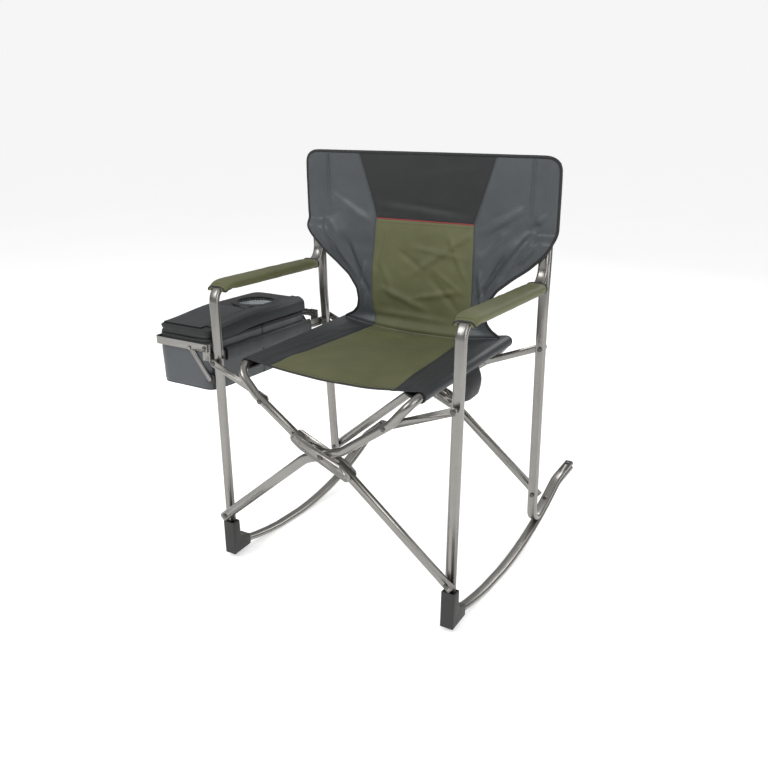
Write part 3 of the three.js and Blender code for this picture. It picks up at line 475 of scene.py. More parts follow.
def cord_shape(points, radius, up, sides=8, closed=False, flat=1.0):
    """A bmesh tube along points, with up never along it. flat squashes it along up."""
    count = len(points)
    rows = [*range(count), 0] if closed else [0, *range(count), count - 1]
    last = len(rows) - 1

    def place(s, t):
        row = round(t * last)
        i = rows[row]
        before = points[(i - 1) % count] if closed else points[max(i - 1, 0)]
        after = points[(i + 1) % count] if closed else points[min(i + 1, count - 1)]
        ahead = (after - before).normalized()
        side = ahead.cross(up).normalized()
        top = side.cross(ahead)
        r = radius if closed or 0 < row < last else 0.0
        c, n = around(s)
        return points[i] + side * (r * c) + top * (r * flat * n)

    return surface(sides, last, place)


def even(points, step, closed=False):
    """Points spaced evenly along a line through points."""
    line = [*points, points[0]] if closed else list(points)
    ends = walked(line)
    count = max(2, round(ends[-1] / step))
    number = count if closed else count + 1
    return [line[k].lerp(line[k + 1], share) for k, share in steps(ends, count, number)]


def trim(name, points, radius, up, body, slot="black_cloth", finish="binding", closed=False,
         sides=8, flat=1.0, levels=0):
    """A bound edge or piping along points, as a piece."""
    made = piece(name, cord_shape(points, radius, up, sides, closed, flat), (finish,), body, slot)
    if levels:
        smooth(made, levels)
    return made


def stitch_shape(lines, out):
    """Short raised stitches along lines, which lie flat to the direction out."""
    cloth = bpy.context.scene.rocker_cloth
    bm = bmesh.new()
    for line in lines:
        points = even(line, cloth.stitch_step)
        for a, b in zip(points, points[1:]):
            ahead = (b - a).normalized()
            side = ahead.cross(out).normalized()
            up = side.cross(ahead)
            turn = Matrix((ahead, side, up)).transposed().to_4x4()
            size = Matrix.Diagonal((cloth.stitch / 2, 0.0005, 0.00045, 1))
            where = Matrix.Translation(a.lerp(b, 0.5)) @ turn @ size
            bmesh.ops.create_icosphere(bm, subdivisions=1, radius=1.0, matrix=where)
    return bm


# ---- back ----
# Height at the edge, height at the middle, half width, half width of the centre panel.
BACK_ROWS = [
    (906, 906, 283, 171), (904.5, 905, 294, 170.5), (900, 903, 304, 170), (893, 896, 311, 167),
    (884, 884, 314, 164), (860, 860, 315, 156), (766, 766, 316, 125), (763, 763, 316, 124),
    (744, 744, 313, 125), (731, 731, 309, 126), (719, 719, 301, 127), (705, 705, 288, 128),
    (683, 683, 264, 129), (659, 659, 230, 130), (630, 630, 194, 131), (599, 599, 172, 131),
    (572, 574, 167, 130), (552, 556, 171, 127), (538, 538, 184, 122), (526.5, 510.8, 206, 118),
]
RED_Z = 763.0
BACK_TOP = 906.0
BACK_Y = 377.5  # front face of the back at its top
BACK_LEAN = 0.03774
BACK_STEP = 17.0  # how far the cloth steps forward below the posts' channels
BACK_FOLDS = [
    (122, 744, -30, 640, 9, 5.0), (66, 738, 116, 640, 7, 4.2), (-20, 704, 108, 690, 8, 3.0),
    (-100, 604, 20, 562, 10, 5.0), (100, 616, -30, 586, 9, 4.2), (-116, 548, 112, 538, 11, 4.2),
    (-92, 740, -110, 640, 8, 3.4), (-60, 694, 10, 650, 8, -3.6), (20, 644, 98, 570, 10, -4.0),
    (-30, 750, -70, 660, 9, 2.6), (30, 660, 112, 610, 6, 3.0), (-110, 670, -60, 560, 8, 2.6),
    (268, 756, 176, 632, 9, 7.0), (286, 744, 236, 686, 7, 5.0), (-268, 754, -176, 632, 9, 6.6),
    (-286, 744, -232, 680, 7, 4.6), (246, 806, 140, 742, 11, 4.4), (-250, 812, -140, 752, 11, 4.2),
    (205, 706, 140, 592, 9, -5.6), (-205, 706, -142, 592, 9, -5.6), (296, 796, 262, 772, 6, 4.0),
    (150, 660, 160, 560, 7, 4.2), (-150, 660, -158, 560, 7, 4.2), (232, 776, 150, 690, 6, 3.2),
    (150, 880, -60, 850, 14, 2.2), (-124, 792, 64, 776, 12, 2.6), (-40, 800, 110, 784, 9, -2.0),
]
SEAM_X = 256.0  # inner seam of the channels round the posts


def back_front(z, x=LEG_X):
    """How far back the panel's front face is, stepping forward below the channels."""
    slack = 1 - ease(190, 268, abs(x))
    low, high = 733 - 110 * slack, 758 + 70 * slack
    return BACK_Y - BACK_LEAN * (z - BACK_TOP) - BACK_STEP * (1 - ease(low, high, z))


def back_spot(s, t, lift=0.0):
    """A place on the back: s runs left to right, t from the hem up, lift is forwards."""
    cloth = bpy.context.scene.rocker_cloth
    row = (1 - t) * (len(BACK_DENSE) - 1)
    low = min(int(row), len(BACK_DENSE) - 2)
    share = row - low
    edge, middle, half, panel = [
        a + (b - a) * share for a, b in zip(BACK_DENSE[low], BACK_DENSE[low + 1])
    ]
    if s < WING_SHARE:
        x = -half + (half - panel) * bunched(s / WING_SHARE)
    elif s > 1 - WING_SHARE:
        x = panel + (half - panel) * bunched((s - 1 + WING_SHARE) / WING_SHARE)
    else:
        x = panel * (2 * bunched((s - WING_SHARE) / (1 - 2 * WING_SHARE)) - 1)
    z = middle + (edge - middle) * (x / half) ** 2
    inward = 1 - (x / half) ** 2
    dent = cloth.back_bow / MM * inward**1.3
    folds = fold_height(BACK_FOLDS, x, z)
    folds = folds + 2.6 * lumps(x, 0, z, 60) + 1.1 * lumps(x, 40, z, 24)
    free = min(1.0, 3 * inward) * (1 - 0.5 * ease(775, 810, z))
    side = 1 + 0.45 * ease(panel, panel + 20, abs(x))
    dent -= cloth.wrinkle * folds * (0.3 + 0.7 * free) * side
    groove = 1.5 * ridge(abs(x) - panel, 3.2)
    if z > 745:
        groove += 1.8 * ridge(abs(x) - SEAM_X - 18 * (1 - ease(768, 790, z)), 5.0)
        dent -= 1.6 * ridge(abs(x) - LEG_X, 13.0) * ease(745, 765, z)
    if abs(x) < panel:
        groove += 1.4 * ridge(z - RED_Z, 3.0)
    curl = 15 * (1 - ease(0, 30, z - 510)) * (1 - 0.6 * ease(120, 200, abs(x)))
    return at(x, back_front(z, x) + dent + groove - curl - lift, z)


def dense(rows, step):
    """The table's rows with more between them, no further than step apart."""
    made = [tuple(rows[0])]
    for a, b in zip(rows, rows[1:]):
        count = max(1, math.ceil(abs(a[0] - b[0]) / step))
        for k in range(1, count + 1):
            made.append(tuple(p + (q - p) * k / count for p, q in zip(a, b)))
    return made


BACK_DENSE = dense(BACK_ROWS, 4.2)
WING_SHARE = 0.3
BACK_ACROSS = 150


class ROCKER_OT_back(bpy.types.Operator):
    """Back panel with its channels, piping and stitches"""

    bl_idname = "rocker.back"
    bl_label = "Back"

    def execute(self, context):
        cloth = context.scene.rocker_cloth
        rows = len(BACK_DENSE) - 1
        red_t = 1 - next(i for i, r in enumerate(BACK_DENSE) if r[0] == RED_Z) / rows

        def paint(s, t):
            if WING_SHARE < s < 1 - WING_SHARE:
                return 2 if t > red_t else 0
            return 1

        sheet = piece(
            "back_panel", surface(BACK_ACROSS, rows, back_spot, paint),
            ("green", "grey", "black"), "right_side", "green_cloth", ("back_cloth",),
        )
        thicken(sheet, cloth.cloth, 0)
        n = BACK_ACROSS
        border = (
            [back_spot(0, k / rows) for k in range(rows)]
            + [back_spot(k / n, 1) for k in range(n)]
            + [back_spot(1, 1 - k / rows) for k in range(rows + 1)]
        )
        forward = Vector((0, -1, 0))
        edge = trim(
            "back_binding", even(border, 0.006), cloth.piping * 1.35, forward, "right_side",
            sides=10, flat=0.75, levels=1,
        )
        span = [WING_SHARE + (1 - 2 * WING_SHARE) * k / 40 for k in range(41)]
        red = trim(
            "red_piping", [back_spot(s, red_t, 1.0) for s in span], 0.0016, forward,
            "right_side", "green_cloth", "red", levels=1,
        )
        lines = []
        for s in (WING_SHARE - 0.022, 1 - WING_SHARE + 0.022):
            lines.append([back_spot(s, k / rows, 1.5) for k in range(2, rows - 1)])
        for shift in (-0.02, 0.02):
            lines.append([back_spot(s, red_t + shift, 1.5) for s in span])
        for side in (-1, 1):
            for x in (SEAM_X - 3, SEAM_X + 3):
                lines.append([on_back(side * x, z, 1.6) for z in range(786, 901, 6)])
        lines.append([back_spot(0.012 + 0.976 * k / n, 0.988, 1.4) for k in range(n + 1)])
        thread = piece(
            "back_stitches", stitch_shape(lines, forward), ("thread",), "right_side",
            "green_cloth",
        )
        sleeves = [channel(side) for side in (-1, 1)]
        for made in (sheet, edge, red, thread, *sleeves):
            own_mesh(made)
        return {"FINISHED"}


def on_back(x, z, lift):
    """A place on the back panel above its step, given by its own measures."""
    return at(x, back_front(z, x) + 1.8 - lift, z)


BACK_EDGE = [(row[0], row[2]) for row in BACK_ROWS]


def channel(side):
    """The layer that closes the channel round a post from behind."""
    low, high = 746.0, 904.0
    name = "left" if side < 0 else "right"

    def place(s, t):
        z = low + (high - low) * t
        outer = table(BACK_EDGE, z)[0] - 3.0
        x = SEAM_X - 2 + (outer + 2 - SEAM_X) * s
        full = ease(SEAM_X, LEG_X - POST_HALF - 4, x)
        full *= 1 - ease(LEG_X + POST_HALF + 2, 314, x)
        closed = 1 - ease(0.955, 1.0, t)
        back = BACK_Y - BACK_LEAN * (z - BACK_TOP) + 2.6
        deep = 18.0 * full * closed + 0.8 * lumps(x, side * 50, z, 26) * full * closed
        return at(side * x, back + deep, z)

    sleeve = piece(
        "post_channel_" + name, surface(26, 30, place), ("grey",), "right_side", "grey_cloth"
    )
    thicken(sleeve, 0.0016)
    return sleeve


# ---- seat ----
SEAT_ROWS = 40
SEAT_UNDER, SEAT_WRAP = 6, 26  # points under the rail, and steps round it
SEAT_TOP = SEAT_UNDER + SEAT_WRAP  # the point at which the top begins
STRIP_SHARE = 0.36
SEAT_ACROSS = 100
SEAT_FOLDS = [
    (-150, 80, -90, 250, 15, 3.4), (150, 90, 110, 260, 15, 3.4), (-60, 60, 20, 190, 20, 3.0),
    (40, 330, -60, 395, 18, 3.4), (-110, 362, 110, 376, 14, 3.4), (90, 60, 40, 210, 16, -3.0),
    (-172, 290, -120, 400, 12, 3.0), (172, 290, 120, 400, 12, 3.0), (-20, 200, 90, 300, 22, 2.4),
    (-190, 60, -150, 330, 8, 2.0), (190, 60, 160, 330, 8, 2.0), (-110, 150, -30, 330, 24, -2.4),
]


def seat_top(x):
    """Height of the seat's middle surface across the sag."""
    sag = bpy.context.scene.rocker_cloth.seat_sag / MM
    return RAIL_W + RAIL_R + 2.2 - sag * (1 - (x / RAIL_X) ** 2)


def seat_profile():
    """The seat's section from the seam under one rail, round it, across and round the other."""
    r = RAIL_R + 2.2
    tuck = (RAIL_X - 36, seat_top(RAIL_X - 36) - 3.4)
    wrap = [
        (RAIL_X + r * math.cos(a), RAIL_W + r * math.sin(a))
        for a in [math.radians(-118 + 208 * k / SEAT_WRAP) for k in range(SEAT_WRAP + 1)]
    ]
    under = [
        tuple(a + (b - a) * k / SEAT_UNDER for a, b in zip(tuck, wrap[0]))
        for k in range(SEAT_UNDER)
    ]
    right = under + wrap
    across = [(x, seat_top(x)) for x in (RAIL_X - k * RAIL_X / 20 for k in range(1, 40))]
    left = [(-x, w) for x, w in reversed(right)]
    return right + across + left


class SeatShape:
    """Where the seat's cloth runs. s goes right to left along the section, t front to back."""

    def __init__(self):
        self.line = [Vector(p) for p in seat_profile()]
        self.ends = walked(self.line)
        self.total = self.ends[-1]

    def reach(self, x):
        """How far along the section the top crosses x."""
        for i in range(SEAT_TOP + 1, len(self.line) - 1):
            if self.line[i].x >= x >= self.line[i + 1].x:
                span = self.line[i].x - self.line[i + 1].x
                share = (self.line[i].x - x) / span
                return self.ends[i] + share * (self.ends[i + 1] - self.ends[i])
        raise ValueError("the seat's top doesn't cross that place")

    def point(self, along):
        """The point of the section at a distance along it."""
        ends = self.ends
        k = next((i for i in range(len(ends) - 1) if ends[i + 1] >= along), len(ends) - 2)
        return self.line[k].lerp(self.line[k + 1], (along - ends[k]) / (ends[k + 1] - ends[k]))

    def spot(self, s, t, lift=0.0):
        half = 152 - 34 * t
        first, second = self.reach(half), self.reach(-half)
        if s < STRIP_SHARE:
            along = first * s / STRIP_SHARE
        elif s > 1 - STRIP_SHARE:
            along = second + (self.total - second) * (s - 1 + STRIP_SHARE) / STRIP_SHARE
        else:
            middle = bunched((s - STRIP_SHARE) / (1 - 2 * STRIP_SHARE))
            along = first + (second - first) * middle
        p = self.point(along)
        bow = 1 - min(1.0, abs(p.x) / RAIL_X) ** 2
        v = SEAT_V[0] + 5 * bow + (SEAT_V[1] - SEAT_V[0] - 10 * bow) * t
        wrinkle = bpy.context.scene.rocker_cloth.wrinkle
        on_top = 0 if self.under(along) else 1
        top = ease(0, 26, RAIL_X - abs(p.x)) * on_top
        uneven = fold_height(SEAT_FOLDS, p.x, v) + 1.2 * lumps(p.x, v, 9, 70)
        groove = 1.2 * ridge(abs(p.x) - half, 3.0) * on_top
        slack = -2.5 * bow * ridge(t, 0.08) - 1.5 * bow * ridge(t - 1.0, 0.08)
        w = p.y + wrinkle * uneven * top - groove + slack + lift
        return cross(p.x, v, w)

    def under(self, along):
        edge = self.ends[SEAT_TOP]
        return along < edge or along > self.total - edge


class ROCKER_OT_seat(bpy.types.Operator):
    """Sling seat with its sleeves, bound hems and stitches"""

    bl_idname = "rocker.seat"
    bl_label = "Seat"

    def execute(self, context):
        cloth = context.scene.rocker_cloth
        shape = SeatShape()

        def paint(s, t):
            return 0 if STRIP_SHARE < s < 1 - STRIP_SHARE else 1

        seat = piece(
            "seat_sling", surface(SEAT_ACROSS, SEAT_ROWS, shape.spot, paint),
            ("green", "dark"), None, "green_cloth", ("seat_cloth",),
        )
        thicken(seat, cloth.cloth)
        v_axis = (cross(0, 1, 0) - cross(0, 0, 0)).normalized()
        hems = []
        for name, t in (("front", 0.0), ("rear", 1.0)):
            line = [shape.spot(k / 160, t) for k in range(161)]
            radius = cloth.piping * 0.85
            hems.append(
                trim("seat_hem_" + name, even(line, 0.005), radius, v_axis, None, levels=1)
            )
        lines = []
        for s in (STRIP_SHARE - 0.014, 1 - STRIP_SHARE + 0.014):
            lines.append([shape.spot(s, k / 40, 1.5) for k in range(41)])
        start = shape.reach(RAIL_X - 34)
        for along in (start, shape.total - start, start + 5, shape.total - start - 5):
            p = shape.point(along)
            lines.append([cross(p.x, 40 + 386 * k / 30, p.y + 1.4) for k in range(31)])
        for t in (0.022, 0.978):
            lines.append([shape.spot(0.25 + 0.5 * k / 80, t, 1.4) for k in range(81)])
        up = (cross(0, 0, 1) - cross(0, 0, 0)).normalized()
        thread = piece(
            "seat_stitches", stitch_shape(lines, up), ("thread",), None, "green_cloth"
        )
        for made in (seat, *hems, thread):
            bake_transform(made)
        return {"FINISHED"}


class ROCKER_OT_pouch(bpy.types.Operator):
    """Flat pouch that hangs from the right rail"""

    bl_idname = "rocker.pouch"
    bl_label = "Side pouch"

    def execute(self, context):
        top = RAIL_W - RAIL_R - 3.6

        def place(s, t):
            deep = POUCH_DEEP * min(1.0, max(0.0, (t - 0.06) / 0.82))
            close = min(1.0, t / 0.06) * min(1.0, (1 - t) / 0.12)
            belly = 3 + 10 * math.sin(math.pi * min(1.0, deep / POUCH_DEEP) ** 0.8 * 0.72)
            c, n = around(s)
            long = POUCH_HALF * blunt(c, 0.5) * close * (1 - 0.10 * deep / POUCH_DEEP)
            wide = belly * blunt(n, 0.8) * close
            sag = 2.0 * lumps(wide, long, deep, 30) * close
            x = RAIL_X + wide + sag + 4 * math.sin(math.pi * deep / POUCH_DEEP)
            return cross(x, POUCH_V + long, top - deep)

        pouch = piece(
            "hanging_pouch", surface(56, 34, place), ("black",), "right_rail_frame",
            "black_cloth", ("side_pouch",),
        )
        smooth(pouch)
        rim = []
        for k in range(48):
            c, n = around(k / 48)
            rim.append(cross(RAIL_X + 4.4 * n, POUCH_V + POUCH_HALF * blunt(c, 0.5), top - 1))
        up = cross(0, 0, 1) - cross(0, 0, 0)
        rim = even(rim, 0.005, True)
        trim("pouch_binding", rim, 0.0018, up, "right_rail_frame", closed=True)
        return {"FINISHED"}


# ---- arms ----
PAD_Y = (9.0, 350.0)
PAD_HALF, PAD_TALL = 25.0, 21.0
PAD_BORE = (13.2, 7.6)  # half width and half height of the hole for the tube
PAD_SIDE = 0.46  # share of the mesh on the outside, and again on the inside
PAD_END = 0.04  # share of the mesh on each end


def arm_drop(y):
    """How far the arm's tube has turned down at a place near the front bend."""
    return 0.0 if y >= LEG_BEND else LEG_BEND - math.sqrt(LEG_BEND**2 - (LEG_BEND - y) ** 2)


class ArmPad:
    """A padded sleeve round an arm: s goes round it, t from front to back."""

    def __init__(self, side):
        self.x = side * LEG_X
        self.seed = 20 * side

    def spot(self, s, t, inner=False):
        c, n = around(s)
        low = max(0.0, -n)
        first = PAD_Y[0] + 30 * ease(0.0, 0.85, low)
        y = first + (PAD_Y[1] - first) * t
        if inner:
            x, z = PAD_BORE[0] * blunt(c, 0.7), PAD_BORE[1] * blunt(n, 0.7)
            return at(self.x + x, y, ARM_Z - arm_drop(y) + z)
        snug = 1 - 0.10 * ridge(t, 0.05) - 0.07 * ridge(t - 1, 0.05)
        puff = 1 + 0.035 * lumps(self.x * 0.37, y, self.seed, 60)
        wide = PAD_HALF * snug * puff
        tall = (PAD_TALL / 2 + 0.6) * snug
        x = wide * blunt(c, 0.62)
        z = tall * blunt(n, 0.85 if n > 0 else 0.6)
        wrinkle = bpy.context.scene.rocker_cloth.wrinkle
        crease = 0.9 * lumps(x * 1.4, y, self.seed + z, 26)
        crease += 0.7 * lumps(x, y * 0.35, self.seed, 12)
        z += wrinkle * crease * (0.4 + 0.6 * max(0.0, n))
        groove = 1.4 * ridge(n + 0.72, 0.12)
        return at(self.x + x * (1 - groove / 24), y, ARM_Z - arm_drop(y) + z + 0.3)


class ROCKER_OT_arms(bpy.types.Operator):
    """Padded covers on both arms, with bound ends"""

    bl_idname = "rocker.arms"
    bl_label = "Arm covers"

    def execute(self, context):
        for name, side in SIDES:
            pad = ArmPad(side)

            def place(s, t, pad=pad):
                if t <= PAD_SIDE:
                    return pad.spot(s, t / PAD_SIDE)
                if t < 0.5:
                    inward = (t - PAD_SIDE) / PAD_END
                    return pad.spot(s, 1).lerp(pad.spot(s, 1, True), inward)
                if t <= 1 - PAD_END:
                    return pad.spot(s, 1 - (t - 0.5) / PAD_SIDE, True)
                return pad.spot(s, 0, True).lerp(pad.spot(s, 0), (t - 1 + PAD_END) / PAD_END)

            body = name + "_side"
            cover = piece(
                "arm_pad_" + name, surface(48, 100, place), ("green",), body,
                "green_cloth", ("arm_cover_" + name,),
            )
            smooth(cover)
            for end, t in (("front", 0.0), ("rear", 1.0)):
                ring = even([pad.spot(k / 60, t) for k in range(60)], 0.004, True)
                label = "arm_binding_%s_%s" % (end, name)
                trim(label, ring, 0.0019, BACKWARD, body, closed=True, levels=1)
            seams = []
            for s in (0.615, 0.885):
                sunk = Vector((0, 0, -0.0003))
                seams.append([pad.spot(s, 0.04 + 0.92 * k / 80) + sunk for k in range(81)])
            for t in (0.018, 0.982):
                raised = Vector((0, 0, 0.0002))
                seams.append([pad.spot(0.02 + 0.46 * k / 40, t) + raised for k in range(41)])
            seam = stitch_shape(seams, UP)
            piece("arm_stitches_" + name, seam, ("thread",), body, "green_cloth")
        return {"FINISHED"}


# ---- cooler ----
def rounded(angle, box_x, box_y, centre, power=9.0):
    """Where a ray from centre meets a box with rounded corners."""
    c, n = math.cos(angle), math.sin(angle)
    reach_x = (box_x[1] - centre[0]) if c > 0 else (centre[0] - box_x[0])
    reach_y = (box_y[1] - centre[1]) if n > 0 else (centre[1] - box_y[0])
    far = ((abs(c) / reach_x) ** power + (abs(n) / reach_y) ** power) ** (-1 / power)
    return centre[0] + far * c, centre[1] + far * n


def even_angles(box_x, box_y, centre, count):
    """Angles at which the box's edge is met in even steps."""
    fine = 2000
    line = [rounded(2 * math.pi * k / fine, box_x, box_y, centre) for k in range(fine + 1)]
    found = steps(walked(line), count, count + 1)
    return [2 * math.pi * (k + share) / fine for k, share in found]


BAG_STEPS = 110
BAG_CENTRE = ((BAG_X[0] + BAG_X[1]) / 2, (BAG_Y[0] + BAG_Y[1]) / 2)
# Share of the outline and height, from the rim down and in to the middle of the base.
BAG_SECTION = [
    (1.0, 531.5), (1.0, 524), (0.996, 515), (0.996, 505), (0.996, 494), (0.992, 480),
    (0.988, 466), (0.986, 452), (0.986, 440), (0.988, 430), (0.990, 422), (0.985, 417.5),
    (0.955, 415.2), (0.9, 415), (0.8, 415), (0.6, 415.4), (0.4, 415.8), (0.2, 416), (0.0, 416),
]
BAG_BASE_ROW = 11  # row of the section at which the base is piped


class ROCKER_OT_cooler(bpy.types.Operator):
    """Soft cooler bag in the shelf's hoop"""

    bl_idname = "rocker.cooler"
    bl_label = "Cooler bag"

    def execute(self, context):
        angles = even_angles(BAG_X, BAG_Y, BAG_CENTRE, BAG_STEPS)
        last = len(BAG_SECTION) - 1

        def place(s, t):
            angle = angles[round(s * BAG_STEPS)]
            share, z = BAG_SECTION[round(t * last)]
            x, y = rounded(angle, BAG_X, BAG_Y, BAG_CENTRE, BAG_ROUND)
            inset_x = (x - BAG_CENTRE[0]) * share
            inset_y = (y - BAG_CENTRE[1]) * (share if share < 0.95 else 1 - (1 - share) * 0.45)
            wall = 1.0 if share > 0.98 else 0.0
            middle = math.sin(math.pi * min(1, max(0, (z - BAG_FLOOR) / 96)))
            puff = 1.2 * lumps(x, y, z, 46) + 0.8 * lumps(x, y, z * 0.5, 20)
            pull = (1.8 + 1.0 * middle) * wall
            long_wall = abs(inset_x) / (BAG_X[1] - BAG_X[0]) * 2 > 0.9
            out = puff * wall * 0.8 - pull
            x_out = math.copysign(out, inset_x) * (1 if long_wall else 0.2)
            y_out = math.copysign(out, inset_y) * (0.2 if long_wall else 1)
            return at(
                BAG_CENTRE[0] + inset_x + x_out,
                BAG_CENTRE[1] + inset_y + y_out,
                z + (0 if wall else 0.8 * lumps(x * share, y * share, 3, 40)),
            )

        def paint(s, t):
            return 1 if t < 1.2 / last else 0

        bag = piece(
            "cooler_body", surface(BAG_STEPS, last, place, paint), ("grey", "black"),
            "cooler_shelf", "grey_cloth", ("cooler_bag",),
        )
        thicken(bag, 0.0030)
        loop = [place(k / BAG_STEPS, BAG_BASE_ROW / last) for k in range(BAG_STEPS)]
        base = trim(
            "cooler_base_piping", even(loop, 0.006, True), 0.0017, UP, "cooler_shelf",
            "grey_cloth", closed=True,
        )
        seam = bmesh.new()
        scratch = bpy.data.meshes.new("seam")
        for corner in range(4):
            y = BAG_Y[corner // 2] - BAG_CENTRE[1]
            target = math.atan2(y, BAG_X[corner % 2] - BAG_CENTRE[0]) % (2 * math.pi)
            near = min(range(BAG_STEPS), key=lambda k: abs(angles[k] - target))
            line = [place(near / BAG_STEPS, j / last) for j in range(2, BAG_BASE_ROW)]
            part = cord_shape(line, 0.0015, Vector((0.3, 1, 0)), 8)
            part.to_mesh(scratch)
            part.free()
            seam.from_mesh(scratch)
        bpy.data.meshes.remove(scratch)
        upright = piece("cooler_corner_piping", seam, ("binding",), "cooler_shelf", "grey_cloth")
        for made in (bag, base, upright):
            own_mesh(made)
        return {"FINISHED"}


class ROCKER_OT_rail_sleeve(bpy.types.Operator):
    """Cloth sleeve round the shelf's rail, next to the seat"""

    bl_idname = "rocker.rail_sleeve"
    bl_label = "Rail sleeve"

    def execute(self, context):
        first, final = 40.0, 352.0

        def place(s, t):
            c, n = around(s)
            y = first + (final - first) * t
            loose = 1 + 0.22 * lumps(3, y, 60, 40)
            x = SHELF_RAIL[0] + 5.6 * blunt(c, 0.8) * (loose if c > 0 else 1.0)
            z = SHELF_RAIL[1] + 14.5 * blunt(n, 0.8)
            ruck = 1.0 * lumps(n * 9, y, 7, 22) * max(0.0, c)
            return at(x + ruck, y, z + 0.8 * lumps(x, y, 70, 30))

        sleeve = piece(
            "shelf_rail_sleeve", surface(32, 60, place), ("dark",), "left_side", "grey_cloth"
        )
        thicken(sleeve, 0.0016)
        for t in (0.0, 1.0):
            ring = even([place(k / 40, t) for k in range(40)], 0.004, True)
            name = "rail_sleeve_hem_%d" % t
            trim(name, ring, 0.0014, BACKWARD, "left_side", closed=True)
        return {"FINISHED"}


LID_Y = (-4.5, 348.5)
LID_CENTRE = (CUP_X, CUP_Y)
LID_LOW = 533.0
LID_STEPS = 150
# Share from the cup's edge to the outline, and share of the lid's height.
LID_SECTION = [
    (0.0, 1.0), (0.1, 1.0), (0.25, 1.0), (0.42, 1.0), (0.6, 1.0), (0.76, 1.0), (0.88, 1.0),
    (0.94, 0.985), (0.975, 0.93), (0.995, 0.80), (1.0, 0.62), (0.99, 0.45), (0.985, 0.36),
    (0.995, 0.26), (1.0, 0.14), (0.99, 0.03), (0.95, 0.0), (0.6, 0.0), (0.3, 0.0), (0.0, 0.0),
    (0.0, 0.33), (0.0, 0.66), (0.0, 1.0),
]
LID_PIPED_ROW = 9
# Across, and above the lid's top.
FLAP_PATH = [
    (-346, 1.0), (-341, 1.6), (-335, 2.0), (-328, 2.2), (-320, 1.0), (-313.5, -2.5),
    (-309.6, -8), (-308.5, -15), (-308.3, -22), (-308.3, -28),
]
FLAP_LOWEST = 528.0
# Share of the cup's radius and height, from the ring down to the middle.
CUP_SECTION = [
    (0.985, 562.5), (0.98, 556), (0.965, 549), (0.94, 542), (0.90, 535), (0.84, 529),
    (0.74, 524.5), (0.60, 522), (0.42, 521), (0.22, 520.5), (0.03, 520.5),
]
CUP_SIDES = 44
ZIP_STEPS = 240


def lid_top(y):
    """Height of the lid, which is fuller towards the back."""
    return 551 + 12.2 * ease(0, 175, y)


